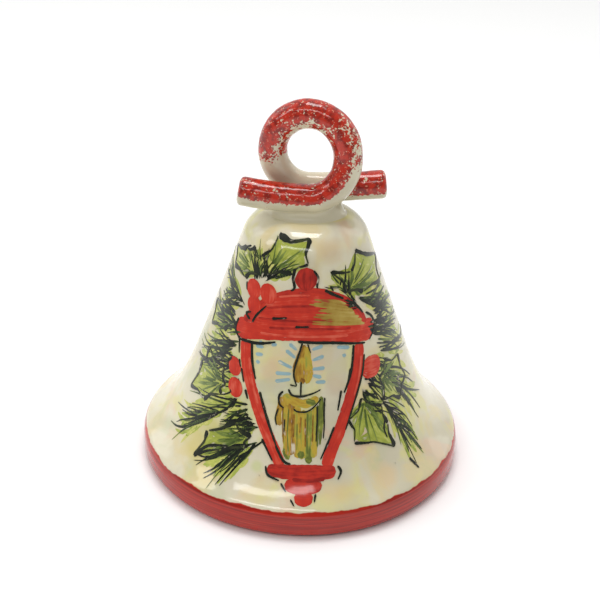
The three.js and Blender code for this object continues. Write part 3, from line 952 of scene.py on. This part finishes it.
def pigment(name, tones, thin, under="#dcd3ba"):
    """Glazed pigment with brush streaks 0.4 mm apart: it thins to what is under it."""
    material, tree = new_material(name)
    place = add_node(tree, "ShaderNodeTexCoord").outputs["Object"]
    along, across, width, order, tone = (
        add_node(tree, "ShaderNodeAttribute", attribute_name=key).outputs["Fac"]
        for key in ("along", "across", "width", "stroke", "tone")
    )
    sideways = add_node(tree, "ShaderNodeMath", {0: across, 1: width}, operation="MULTIPLY")
    streak_place = add_node(tree, "ShaderNodeCombineXYZ", {
        "X": add_node(tree, "ShaderNodeMath", {0: along, 1: 140.0}, operation="MULTIPLY"),
        "Y": add_node(tree, "ShaderNodeMath", {
            0: sideways, 1: 2400.0,
        }, operation="MULTIPLY"),
        "Z": add_node(tree, "ShaderNodeMath", {0: order, 1: 3.7}, operation="MULTIPLY"),
    })
    streak = add_node(tree, "ShaderNodeTexNoise", {
        "Vector": streak_place, "Scale": 1.0, "Detail": 3.0, "Roughness": 0.6,
    }).outputs["Fac"]
    pool = add_node(tree, "ShaderNodeTexNoise", {
        "Vector": place, "Scale": 260.0, "Detail": 2.0,
    }).outputs["Fac"]
    both = add_node(tree, "ShaderNodeMath", {0: streak, 1: pool}, operation="ADD")
    shift = add_node(tree, "ShaderNodeMapRange", {
        "Value": both, "From Min": 0.7, "From Max": 1.3, "To Min": -0.3, "To Max": 0.3,
    })
    picked = add_node(tree, "ShaderNodeMath", {0: tone, 1: shift}, operation="ADD", use_clamp=True)
    ramp = add_node(tree, "ShaderNodeValToRGB", {0: picked})
    ramp.color_ramp.elements[1].position = 1.0
    for k in range(1, len(tones) - 1):
        ramp.color_ramp.elements.new(k / (len(tones) - 1))
    for element, tint in zip(ramp.color_ramp.elements, tones):
        element.color = to_linear(tint)
    bare = add_node(tree, "ShaderNodeMapRange", {
        "Value": both, "From Min": 0.78 + 0.3 * thin, "From Max": 0.62 + 0.3 * thin,
        "To Max": 0.85,
    })
    colour = mixed(tree, bare, ramp, under)
    finish_glossy(tree, place, colour, 0.1)
    return material


brush = brush_tree()


def part_way(values, share):
    """A value part way along a stroke, from one value or from several spread along it."""
    if not isinstance(values, (list, tuple)):
        return values
    spot = share * (len(values) - 1)
    low = min(int(spot), len(values) - 2)
    return values[low] + (values[low + 1] - values[low]) * (spot - low)


def brushed(name, strokes, material, layer, each, step=0.5, strips=3, ragged=0.2,
            turn=0.0):
    """One object of brush strokes. A stroke is its points, its half-widths and its tone.

    The first stroke lies a layer above the wall, and each later one a little higher. Lengths
    are in mm, the turn round the bell in radians.
    """
    lines = [[(x * MM, h * MM, 0) for x, h in points] for points, _, _ in strokes]
    plan = strands(name + "_plan", lines)
    values = {"width": [], "tone": [], "stroke": []}
    for order, (points, widths, tones) in enumerate(strokes):
        for i in range(len(points)):
            share = i / (len(points) - 1)
            values["width"].append(part_way(widths, share) * MM)
            values["tone"].append(part_way(tones, share))
            values["stroke"].append(float(order))
    for key, numbers in values.items():
        plan.data.attributes.new(key, "FLOAT", "POINT").data.foreach_set("value", numbers)
    made = grown(name, plan, brush, {
        "Wall": bell_wall, "Turn": turn, "Layer": layer * MM, "Each": each * MM,
        "Sink": 0.04 * MM, "Step": step * MM, "Strips": strips, "Ragged": ragged,
        "Pigment": material,
    })
    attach(made, "bell")
    return made


roof_sweeps = [
    ([(-19.5, 61.2), (-8, 62.3), (2, 62.6), (12, 62.1), (21.5, 60.6)], 1.7, 0.45),
    ([(-17.6, 63), (-8, 64.8), (2, 65.2), (11, 64.7), (20, 62.3)], 1.7, 0.6),
    ([(-15.4, 65.2), (-7, 67.2), (2, 67.6), (10, 67.1), (17.4, 65)], 1.6, 0.5),
    ([(-12.8, 67.2), (-6, 69.4), (1, 70), (8, 69.5), (14.6, 67.4)], 1.5, 0.65),
    ([(-9.8, 69.3), (-4, 71.2), (2, 71.8), (7, 71.4), (12, 69.6)], 1.2, 0.5),
    ([(-6.6, 71.2), (-2, 72.4), (3, 72.7), (8, 71.8)], 0.8, 0.4),
    ([(-24, 57.3), (-20, 57.8), (-12, 59), (0, 59.8), (12, 58.9), (21, 58), (25.8, 57.4)],
     (2.9, 3.1, 2.5, 2.3, 2.5, 3.2, 3.1), 0.6),
    ([(6.4, 72.2), (11.8, 70), (16, 67.2), (19.6, 63.8), (22, 60)], (0.5, 0.9, 0.9, 0.8), 0.3),
    ([(-4.6, 72.2), (-9.8, 69.8), (-14.4, 66.5), (-18.2, 62.8), (-20.4, 60)], (0.5, 0.9, 1), 0.3),
    ([(-15, 62.3), (-6, 63.3), (4, 63.5), (14, 62.6)], 0.35, 0.1),
    ([(-11, 60.3), (-2, 61.2), (7, 61), (16, 60)], 0.4, 0.15),
    ([(-12, 66), (-5, 67.6), (1, 68), (4, 67.8)], 0.3, 0.1),
    ([(-14, 58.2), (-4, 58.8), (6, 58.8), (15, 58)], 0.35, 0.9),
    ([(-8, 70), (-3, 71), (2, 71.2)], 0.3, 0.95),
]
frame_bars = [
    ([(-19.3, 55), (-18.4, 47), (-15.6, 39.5), (-11.6, 31), (-7.6, 24), (-5.6, 20)],
     (2.3, 2.15, 2, 2, 1.9, 1.8), 0.65),
    ([(19, 55), (18.6, 48), (16.6, 40), (13, 30.5), (10.4, 25), (8.6, 20)],
     (2.15, 2.2, 2.1, 2.1, 2, 2), 0.5),
    ([(-10.2, 19.2), (-4, 19.1), (4, 19.2), (12, 18.9)], (1.5, 1.9, 2, 1.7), 0.25),
    ([(-4.4, 15.9), (1.5, 15.4), (7.6, 15.9)], (1.3, 1.9, 1.3), 0.4),
    ([(-1.2, 13.2), (1.8, 12.7), (4.8, 13.2)], (1.2, 1.5, 1.2), 0.45),
    ([(0.6, 79.5), (0.6, 76), (0.6, 72.5)], 3.5, 0.2),
    ([(-2, 17.3), (3, 17), (8.5, 17.4)], 0.5, 0.0),
    ([(-17.5, 50), (-16.4, 44), (-13.8, 37)], 0.35, 0.95),
    ([(20, 51), (19.4, 45.5), (17.6, 39.5)], 0.35, 0.9),
]
red_pigment = pigment("iron red pigment", ("#8c1a12", "#b92c1e", "#c83521", "#d9604a"), -0.25)
brushed("lantern_red", roof_sweeps + frame_bars, red_pigment, 0.07, 0.003,
        strips=6, ragged=0.12)
ochre_draw = random.Random(3)
ochre_sweeps = []
for i in range(22):
    rise = i / 21
    left = 3 + ochre_draw.uniform(-2, 5)
    right = 22 - 8.4 * rise + ochre_draw.uniform(-1, 0)
    drop = 1.7 + 0.05 * (right - left) * (1 + 0.2 * rise)
    height = 62.6 + 7.2 * rise
    ochre_sweeps.append((
        [(left, height + 0.2), ((left + right) / 2, height - 0.3 * drop), (right, height - drop)],
        (0.15, ochre_draw.uniform(0.3, 0.6), 0.3), (0.2, ochre_draw.uniform(0.4, 0.8)),
    ))
ochre_pigment = pigment(
    "ochre over red", ("#8b6a22", "#a5883a", "#b39a4c", "#c3ad68"), 0.22, under="#a5402c",
)
brushed("lantern_ochre", ochre_sweeps, ochre_pigment, 0.115, 0.003, strips=6)

# ---------------------------------------------------------------------------------------
# The candle, its flame and the glow in the lantern. Loose upright strokes in ochre, yellow
# and olive, and short pale blue dabs that fan out from the flame.

wax_strokes = [
    ([(-6, 40.5), (-6.4, 38), (-7, 35), (-6.4, 31.8)], 0.95, 0.35),
    ([(-4.8, 41.5), (-4.6, 37), (-4.5, 30), (-3.8, 24)], 1.15, 0.5),
    ([(-2.8, 39), (-2.9, 31), (-2.6, 23.6)], 1.2, 0.25),
    ([(-0.9, 38), (-1, 30), (-0.5, 22.9)], 1.15, 0.45),
    ([(1, 37), (1, 30), (0.8, 22.6)], 1.15, 0.55),
    ([(3, 37), (3.1, 29), (3, 22)], 1.2, 0.75),
    ([(4.7, 38), (4.8, 30), (4.6, 23)], 1.0, 0.55),
    ([(6.4, 41), (6.7, 35), (6.5, 26.5)], (0.6, 0.85, 0.3), 0.9),
    ([(-5.4, 41.2), (-2, 39.4), (2, 38.9), (5.6, 40.6)], (1.1, 1.35, 1.35, 1.1), 0.45),
    ([(1.6, 39.8), (4.8, 38.8)], 0.9, 0.95),
    ([(-2.2, 35.6), (-2.4, 29)], 0.35, 0.05),
    ([(0.2, 35), (0.1, 30)], 0.3, 0.1),
    ([(5.4, 38.4), (5.6, 33), (5.4, 29)], 0.5, 1.0),
    ([(0.2, 25), (1, 22.8)], 1.1, 0.95),
    ([(1.8, 22.8), (4.2, 22.2)], 1.0, 1.0),
    ([(-5, 25.4), (-3.2, 22.4)], 0.9, 0.95),
    ([(-3.7, 31), (-3.4, 23.4)], 1.0, 0.4),
    ([(-5.6, 37.6), (-5.4, 31), (-5.1, 27)], 0.22, 0.0),
    ([(-3.7, 37.2), (-3.9, 30), (-3.4, 24.4)], 0.2, 1.0),
    ([(-1.9, 35.8), (-2, 28.6)], 0.26, 0.0),
    ([(-0.9, 33), (-0.8, 25)], 0.2, 0.9),
    ([(1.6, 34.6), (1.9, 26)], 0.22, 0.05),
    ([(2.4, 36), (2.3, 29), (2.6, 24)], 0.24, 1.0),
    ([(4, 35.6), (4.1, 27.5)], 0.2, 0.0),
    ([(5.6, 35), (5.7, 26)], 0.3, 1.0),
]
flame_strokes = [
    ([(0.8, 56.5), (-0.8, 52), (-1.5, 48.5), (-0.8, 45)], (0.7, 1.3, 1.4, 0.8), 0.2),
    ([(1.5, 56), (1.9, 51), (2.3, 48), (1.6, 44.8)], (0.7, 1.3, 1.4, 0.8), 0.5),
    ([(0.4, 53), (0.5, 49), (0.3, 46)], 0.7, 0.35),
    ([(0, 46.6), (0.8, 44.8)], 0.9, 0.0),
]
wax_pigment = pigment(
    "candle ochre and olive", ("#7c5218", "#a9812a", "#bfa238", "#929a3e", "#616c2c"), 0.18,
)
brushed("candle", wax_strokes, wax_pigment, 0.04, 0.004, strips=4, ragged=0.3)
brushed("flame", flame_strokes, wax_pigment, 0.05, 0.004, strips=4, ragged=0.2)
glow_strokes = []
for inner, outer in (
    ((-1.6, 54.8), (-4.2, 56.6)), ((-2, 52.4), (-5.2, 54.6)), ((-3, 49.4), (-7.6, 51)),
    ((-3.2, 47.6), (-8.4, 47.3)), ((-3.4, 46), (-8.4, 44.8)), ((3, 55), (6.6, 56.1)),
    ((3.2, 51.8), (7, 53)), ((3.2, 49.2), (7.4, 49.4)), ((3.4, 47.4), (6.4, 46.6)),
    ((4.4, 45.3), (7.8, 45.2)), ((-8, 55.9), (-10, 55.3)), ((-12.5, 54.8), (-14.2, 55.8)),
    ((-12.5, 54.2), (-15.4, 54)), ((-12.6, 52), (-15.4, 51.5)), ((-13.6, 49.5), (-15.2, 49.3)),
    ((11, 55.2), (15.6, 54.3)), ((13, 52.6), (14.4, 52)),
):
    glow_strokes.append(([inner, outer], (0.45, 0.62), 0.35))
blue_pigment = pigment("thin pale blue", ("#86a3a8", "#93b2b8", "#aac3c4"), 0.3)
brushed("candle_glow", glow_strokes, blue_pigment, 0.04, 0.002)

# ---------------------------------------------------------------------------------------
# The holly. Leaves filled in with loose yellow-green strokes over a thin wash, with darker
# olive strokes on top and a broken dark outline that dips between the spines.


def between(first, second, share):
    """A point part way between two points."""
    return tuple(a + (b - a) * share for a, b in zip(first, second))


leaf_draw = random.Random(11)


def holly_leaf(corners, tone, draw):
    """A leaf from its corners: the stalk end first, then its spines and tip in order."""
    count = len(corners)
    centre = tuple(sum(values) / count for values in zip(*corners))
    corners = [between(centre, corner, 1.03) for corner in corners]
    hollows = [
        between(between(corner, corners[(i + 1) % count], 0.5), centre, 0.15)
        for i, corner in enumerate(corners)
    ]
    fills, shades, edges = [], [], []
    start = between(corners[0], centre, 0.2)
    for i, corner in enumerate(corners):
        following = corners[(i + 1) % count]
        size = math.dist(centre, hollows[i])
        path = [between(corner, centre, 0.16), between(hollows[i], centre, 0.3),
                between(following, centre, 0.16)]
        width = min(0.3 * size, 1.7)
        fills.append((path, (0.3, width, 0.3), tone + draw.uniform(-0.2, 0.1)))
    for target in hollows[1:-1] + corners[1:]:
        size = math.dist(start, target)
        width = min(max(0.2 * size, 0.9), 2.1)
        path = [start, between(start, target, 0.5), between(start, target, 0.94)]
        fills.append((path, (width, width, 0.3), tone + draw.uniform(-0.2, 0.2)))
    for target in 2 * (corners[1:] + hollows[1:-1]):
        aim = (target[0] + draw.uniform(-1.6, 1.6), target[1] + draw.uniform(-1.6, 1.6))
        bow = draw.uniform(-0.6, 0.6)
        first = between(start, aim, draw.uniform(0, 0.35))
        middle = between(first, aim, 0.4)
        last = between(start, aim, draw.uniform(0.6, 0.9))
        path = [first, (middle[0] + bow, middle[1] + bow), last]
        thick = draw.uniform(0.16, 0.45)
        shades.append((path, (0.8 * thick, thick, 0.08), (draw.uniform(0, 0.4), 0.9)))
    for i, corner in enumerate(corners):
        following = corners[(i + 1) % count]
        path = [corner, between(corner, hollows[i], 0.6), hollows[i],
                between(hollows[i], following, draw.uniform(0.85, 1.0))]
        thick = draw.uniform(0.75, 1.6)
        edges.append((
            path, (0.62 * thick, 0.45 * thick, 0.3 * thick, 0.22), (draw.uniform(0, 0.3), 0.9),
        ))
    return fills, shades, edges


# Each leaf: its corners, and its tone from 0, dark, to 1, light.
leaves = [
    ([(-12, 76), (-14.4, 80.4), (-8.6, 86.9), (1.2, 87), (0.9, 80.4), (-4, 77.6)], 0.6),
    ([(-16, 75), (-17.6, 81.8), (-22.5, 80.2), (-31.5, 78), (-29, 73.2), (-21.5, 72.3)], 0.65),
    ([(14, 71), (8.6, 77.6), (16, 76.4), (17.8, 81.8), (33.6, 75.8), (32.4, 68.6), (21, 69.4)],
     0.6),
    ([(-24, 57.3), (-28.6, 62.4), (-41, 58.4), (-40, 52), (-30, 54)], 0.8),
    ([(-27, 39), (-28, 43.6), (-38, 45.4), (-41.6, 40), (-47.4, 30.6), (-37, 31), (-29, 35.5)],
     0.7),
    ([(-16, 27), (-22, 29.5), (-33, 23.6), (-38, 16.2), (-26.5, 20.8), (-18, 23.6)], 0.55),
    ([(28, 42), (31, 46), (39.8, 44.4), (44, 36.8), (38.6, 32.6), (30, 35)], 0.75),
    ([(20.5, 38), (16, 32.6), (18.2, 25.8), (34, 21), (31.2, 28), (28.6, 33.6)], 0.45),
]
leaf_fills, leaf_shades, leaf_edges = [], [], []
for corners, tone in leaves:
    fills, shades, edges = holly_leaf(corners, tone, leaf_draw)
    leaf_fills += fills
    leaf_shades += shades
    leaf_edges += edges
leaf_pigment = pigment("yellow green", ("#64732d", "#8f9a3b", "#abb24d", "#c5c57b"), 0.12)
brushed("holly_leaves", leaf_fills, leaf_pigment, 0.028, 0.0006, strips=5,
        step=0.6, ragged=0.3)
olive_pigment = pigment("olive green", ("#34431f", "#586b2b", "#84934a"), 0.22)
brushed("holly_veins", leaf_shades, olive_pigment, 0.075, 0.0008, ragged=0.5)

# ---------------------------------------------------------------------------------------
# The fir twigs. Quick flicks of a fine brush, loaded with dark green and some yellow-green,
# that fan out from the lantern to both sides. Each twig is a row of flicks.


def flick_path(foot, angle, skip, reach, bow):
    """Four points along one flick: it starts a skip away from its foot and bows sideways."""
    ahead = (math.cos(angle), math.sin(angle))
    path = []
    for step, sideways in ((0, 0), (0.35, 0.8), (0.7, 0.75), (1, 0)):
        gone = skip + reach * step
        path.append((
            foot[0] + gone * ahead[0] - bow * sideways * ahead[1],
            foot[1] + gone * ahead[1] + bow * sideways * ahead[0],
        ))
    return path


def fir_twig(start, end, low, high, short, long, count, draw):
    """Flicks that leave a short twig at angles from low to high, in degrees.

    The first list is the dark flicks, the second the broad yellow-green ones under them.
    """
    flicks, glows = [], []
    for i in range(count):
        angle = math.radians(low + (high - low) * (i + draw.random()) / count)
        reach = draw.uniform(short, long)
        foot = between(start, end, draw.random())
        skip = draw.choice((0, 0.1, 0.2, 0.35, 0.6)) * short
        bow = draw.uniform(-0.05, 0.09) * reach
        thick = draw.uniform(0.13, 0.33)
        tone = draw.choice((0.0, 0.0, 0.05, 0.2, 0.5))
        flicks.append((
            flick_path(foot, angle, skip, reach, bow),
            (1.1 * thick, 1.2 * thick, 0.75 * thick, 0.08), (tone, tone + 0.05, tone + 0.35),
        ))
        for lean in (-0.09, 0.09):
            wide = draw.uniform(0.4, 1.0)
            glows.append((
                flick_path(foot, angle + lean, skip, 0.78 * reach, bow)[1:],
                (0.6 * wide, wide, 0.3 * wide), draw.choice((0.35, 0.55, 0.75, 0.95)),
            ))
    return flicks, glows


needles, needle_glows = [], []
flick_draw = random.Random(7)
# Each twig: its two ends, its lowest and highest angle, its shortest and longest flick, and
# how many flicks it has.
for start, end, low, high, short, long, count in (
    ((-17, 73), (-12, 77), 60, 150, 4, 8, 20),
    ((-14, 73), (-8, 76), 15, 60, 4, 8, 12),
    ((-19, 63), (-28, 70), 140, 210, 5, 12, 25),
    ((-21, 56), (-30, 58.5), 165, 205, 7, 14, 18),
    ((-21, 54), (-31, 43), 188, 212, 9, 22, 28),
    ((-25, 47), (-31, 41), 160, 205, 4, 9, 14),
    ((-19, 37), (-34, 26), 190, 214, 8, 25, 32),
    ((-13, 30), (-22, 37), 190, 235, 3, 9, 22),
    ((-11, 27), (-20, 23), 196, 228, 8, 20, 25),
    ((19, 65), (12, 73), 85, 185, 3, 6, 20),
    ((17, 69), (29, 62), -32, -2, 7, 17, 28),
    ((22, 60), (30, 48), -28, -4, 9, 24, 32),
    ((25, 49), (37, 36), -52, -24, 9, 22, 30),
    ((27, 38), (36, 26), -62, -32, 8, 17, 28),
    ((19, 43), (25, 33), -70, -10, 3, 8, 20),
    ((24, 67), (27, 58), -25, 20, 5, 12, 24),
    ((22, 50), (23, 40), -55, -12, 5, 12, 20),
    ((-24, 67), (-25, 58), 155, 205, 4, 11, 24),
    ((-23, 52), (-20, 40), 170, 215, 5, 12, 24),
    ((-18, 37), (-14, 29), 182, 215, 5, 13, 20),
    ((-17, 73), (-12, 75), 55, 125, 4, 9, 16),
):
    flicks, glows = fir_twig(start, end, low, high, short, long, count, flick_draw)
    needles += flicks
    needle_glows += glows
brushed("fir_underpaint", needle_glows, pigment(
    "thin yellow green", ("#62732e", "#99a645", "#b9bd5c", "#d0c97c"), 0.12,
), 0.012, 0.0001, step=0.7, ragged=0.5)
needle_pigment = pigment("dark green", ("#0a1008", "#1c2813", "#4c5e2a", "#93a04e"), 0.1)
brushed("fir_needles", needles, needle_pigment, 0.09, 0.0002, step=0.7,
        ragged=0.35)

# ---------------------------------------------------------------------------------------
# The berries. Round dabs of red, in a cluster at the roof's left and in ones and twos by the
# bars, each with a darker rim where the wet pigment gathered.

# Each berry: how far round, how high, its radius and its tone.
berries = (
    (-16.6, 65.6, 2.8, 0.5), (-17.2, 70.2, 2.9, 0.6), (-11.6, 70.2, 3, 0.65),
    (-23.4, 45.6, 2.8, 0.6), (-22.6, 39.6, 2.9, 0.65),
)
berry_strokes = []
for x, height, size, tone in berries:
    berry_strokes.append((
        [(x - 0.3, height + size), (x, height), (x + 0.2, height - size)], size,
        (tone - 0.15, tone + 0.1, tone - 0.2),
    ))
berry_strokes.append(([(20.4, 46.7), (24.4, 46.4), (28.4, 45.9)], 3.3, (0.6, 0.85, 0.55)))
brushed("berries", berry_strokes, red_pigment, 0.195, 0.004, strips=8, step=0.3,
        ragged=0.06)

# ---------------------------------------------------------------------------------------
# The ink lines. A fine brush with a green black, drawn last: broken lines along the bars and
# the roof, the candle's edges, the wick, the leaves' outlines and a few stray specks.

lantern_lines = [
    [(-16.8, 54.5), (-16.4, 49), (-15, 44)], [(-13.4, 40.8), (-10.5, 33), (-7, 25)],
    [(-7.6, 26), (-5, 22), (-2.5, 21.2)], [(-22, 55), (-21.7, 50)], [(-18.6, 40.2), (-17.6, 37.5)],
    [(-12.2, 27.2), (-8.4, 21.5)], [(17, 54.8), (16.3, 47), (14, 41)],
    [(13, 42), (12, 36)], [(11, 31.5), (8.8, 26.5), (6.8, 22.5)],
    [(21.2, 51), (20.6, 46), (19, 41), (16.5, 34.5), (14.8, 30)],
    [(-22.4, 54.2), (-15, 54.8), (-8.5, 56.5)],
    [(-1.5, 57.4), (4, 57.1), (10, 56.6), (16.5, 55.3), (21.6, 54.2)],
    [(-22.8, 60), (-24, 56.6), (-22, 54.2)], [(22, 63), (25, 60.8), (26, 57.6), (23.5, 54.6)],
    [(-17, 60.5), (-15.5, 63), (-12, 66.6)], [(6.5, 72.6), (9.4, 71), (13, 69.2)],
    [(14, 68.6), (17.8, 66.2), (20.8, 63.2)], [(-18, 61), (-19.6, 62.4), (-17.6, 63.4)],
    [(16, 48), (15.2, 44)], [(-20.4, 46), (-19.3, 42)],
    [(-3, 79), (-3.5, 76), (-3, 73.4), (-4.2, 72.2)],
    [(2.8, 78.6), (4.3, 76.4), (4, 74), (4.3, 73.2)],
    [(-10.6, 20), (-9.8, 17.8), (-6, 16.7)], [(-5.6, 16.2), (-3.8, 14.2)],
    [(-2.4, 12.7), (-1, 11.2)], [(12.4, 20.4), (13.6, 18.8), (12.6, 16.8)], [(5.6, 14), (5.2, 12)],
    [(-2.5, 61.7), (2, 61.9)], [(-10, 63.2), (-5, 64.2)],
]
candle_lines = [
    [(-5.6, 42.2), (-6.9, 40.6), (-6.7, 38.2), (-5.2, 37.2)],
    [(-4, 43), (-3, 41.4), (-1.5, 41), (0.2, 41), (2, 41.4), (4, 42), (6.2, 43)],
    [(-2.2, 37.3), (-1.2, 36.5), (1.5, 36.4), (3.4, 37.2), (5, 38.6), (6.5, 40.3)],
    [(7.6, 40.5), (7.5, 36), (7.7, 32), (7.5, 28.3)], [(5.3, 38), (5.4, 33), (5.2, 27.5)],
    [(-7, 37), (-7.9, 34), (-7.4, 31.8)], [(-4.9, 34), (-5, 30)],
    [(0, 57), (-1.2, 53), (-2.2, 49.5), (-2.4, 47), (-1.4, 44)],
    [(1.6, 56.8), (2.7, 54)], [(0, 45.5), (-0.1, 42.6), (0, 40.8)], [(-3.6, 44.3), (-1.5, 44)],
]
twig_lines = [
    [(-25, 79.4), (-20, 81.8)], [(-35, 59.4), (-29, 62.2)], [(-36, 56), (-31, 57.6), (-25, 57.6)],
    [(-37.6, 16.2), (-33, 19.6), (-29, 21.2), (-24, 22.4)], [(-27, 61.6), (-24.6, 60)],
    [(18, 81.6), (25, 78.8), (33.6, 75.9)], [(8.2, 73.6), (9.4, 72)], [(12, 75), (11.6, 73.2)],
    [(-24.6, 47.8), (-26.2, 46), (-25.6, 44)], [(-21.5, 48.4), (-20.8, 46)],
    [(-20.3, 71.4), (-20, 69)], [(40.8, 16), (45, 12.8)], [(21.4, 43.6), (23, 43)],
    [(-24.6, 38.4), (-24, 37.4)], [(30.5, 30), (29.6, 27), (31, 24)],
]
specks = [
    (12.8, 17.4), (-12.5, 17.3), (8.2, 28.2), (22.5, 40), (34, 16.8), (-4.2, 38), (27, 57.6),
]
ink_draw = random.Random(5)
ink_strokes = []
for lines, thick in ((lantern_lines, 0.36), (candle_lines, 0.27), (twig_lines, 0.34)):
    for line in lines:
        width = thick * ink_draw.uniform(0.85, 1.2)
        ink_strokes.append((line, (width, 1.1 * width, 0.6 * width), ink_draw.uniform(0, 0.4)))
for x, height in specks:
    ink_strokes.append(([(x - 0.25, height), (x + 0.25, height - 0.1)], 0.34, 0.1))
ink_pigment = pigment("green black ink", ("#12160e", "#1d2416", "#3a3f22"), 0.04)
brushed("ink_lines", ink_strokes, ink_pigment, 0.225, 0.0005, step=0.35,
        ragged=0.35)
brushed("leaf_outlines", leaf_edges, ink_pigment, 0.2, 0.0005, step=0.4,
        ragged=0.4)

# ---------------------------------------------------------------------------------------
# The back. A small sprig of holly, painted with the same brushes, fills the plain side.

back_fills, back_shades, back_edges = [], [], []
for corners, tone in (
    ([(-2, 46), (-6, 50), (-15, 52), (-20, 47), (-15, 43), (-7, 42.5)], 0.6),
    ([(2, 46), (6, 42), (14, 40), (19, 45), (14, 49), (6, 50)], 0.7),
    ([(0, 48), (-4, 53), (-3, 60), (2, 64), (5, 58), (4, 52)], 0.55),
):
    fills, shades, edges = holly_leaf(corners, tone, leaf_draw)
    back_fills += fills
    back_shades += shades
    back_edges += edges
back_needles = []
for start, end, low, high in (
    ((-3, 44), (-6, 38), 195, 250), ((3, 43), (6, 38), -70, -15), ((3, 52), (6, 56), 20, 70),
    ((-4, 52), (-7, 55), 110, 165),
):
    back_needles += fir_twig(start, end, low, high, 7, 14, 14, flick_draw)[0]
back_berries = []
for x, height in ((-1.8, 44.4), (2.2, 45.6), (0.4, 48.2)):
    back_berries.append(([(x, height + 2.4), (x, height), (x, height - 2.4)], 2.4, 0.6))
for name, strokes, material, slot, layer, strips in (
    ("back_leaves", back_fills, leaf_pigment, "green_glaze", 0.028, 5),
    ("back_needles", back_needles, needle_pigment, "green_glaze", 0.05, 3),
    ("back_veins", back_shades, olive_pigment, "green_glaze", 0.075, 3),
    ("back_outlines", back_edges, ink_pigment, "black_glaze", 0.11, 3),
    ("back_berries", back_berries, red_pigment, "red_glaze", 0.13, 8),
):
    brushed(name, strokes, material, layer, 0.0006, strips=strips, ragged=0.2, turn=math.pi)

# ---------------------------------------------------------------------------------------
# The table, the lights and the camera.

floor_mesh = bpy.data.meshes.new("table_top")
table_half = 3.0
floor_mesh.from_pydata(
    [(x * table_half, y * table_half, 0) for x, y in ((-1, -1), (1, -1), (1, 1), (-1, 1))],
    [], [(0, 1, 2, 3)],
)
table_top = bpy.data.objects.new("table_top", floor_mesh)
bpy.context.scene.collection.objects.link(table_top)
matt_white, tree = new_material("matt white table")
shader = add_node(tree, "ShaderNodeBsdfPrincipled", {
    "Base Color": to_linear("#fbfbfa"), "Roughness": 0.9,
})
add_node(tree, "ShaderNodeOutputMaterial", {"Surface": shader})
floor_mesh.materials.append(matt_white)

middle = Vector((0, 0, 0.5 * (cad_box[0][2] + cad_box[1][2])))


def soft_box(name, place, width, height, watts):
    """A white soft box that faces the bell."""
    light = bpy.data.lights.new(name, "AREA")
    light.shape = "RECTANGLE"
    light.size, light.size_y = width, height
    light.energy = watts
    made = bpy.data.objects.new(name, light)
    bpy.context.scene.collection.objects.link(made)
    made.location = place
    made.rotation_euler = (middle - Vector(place)).to_track_quat("-Z", "Y").to_euler()
    return made


soft_box("overhead", (0, 0.15, 1.2), 0.55, 0.4, 6.2)
soft_box("front_umbrella", (-0.26, -0.72, 0.88), 1.0, 0.12, 2.4)
soft_box("left_window", (-0.9, 0.5, 0.6), 0.4, 0.9, 1.2)
soft_box("right_window", (0.9, 0.6, 0.6), 0.4, 0.9, 1.0)
soft_box("small_window", (-0.95, -0.22, 0.8), 0.24, 0.42, 1.3)
world = bpy.data.worlds.new("pale studio")
world.use_nodes = True
tree = world.node_tree
tree.nodes.clear()
direction = add_node(tree, "ShaderNodeSeparateXYZ", {
    0: add_node(tree, "ShaderNodeTexCoord").outputs["Generated"],
})
bright = add_node(tree, "ShaderNodeMapRange", {
    "Value": direction.outputs["Y"], "From Min": -0.45, "From Max": 0.45,
    "To Min": 0.38, "To Max": 1.05,
})
sky = add_node(tree, "ShaderNodeBackground", {"Strength": bright})
add_node(tree, "ShaderNodeOutputWorld", {"Surface": sky})
bpy.context.scene.world = world
bpy.context.scene.view_settings.view_transform = "Standard"

camera_data = bpy.data.cameras.new("camera")
camera_data.sensor_width = 36
camera_data.lens = 69.6
camera = bpy.data.objects.new("camera", camera_data)
bpy.context.scene.collection.objects.link(camera)
look_down = math.radians(28.45)
side_turn = math.radians(0.25)
lean = math.radians(1.64)
turn = (
    Matrix.Rotation(side_turn, 4, "Z")
    @ Matrix.Rotation(math.pi / 2 - look_down, 4, "X")
    @ Matrix.Rotation(lean, 4, "Z")
)
camera_place = Vector((0.2, -341.9, 241.7)) * MM
camera.matrix_world = Matrix.Translation(camera_place) @ turn
bpy.context.scene.camera = camera
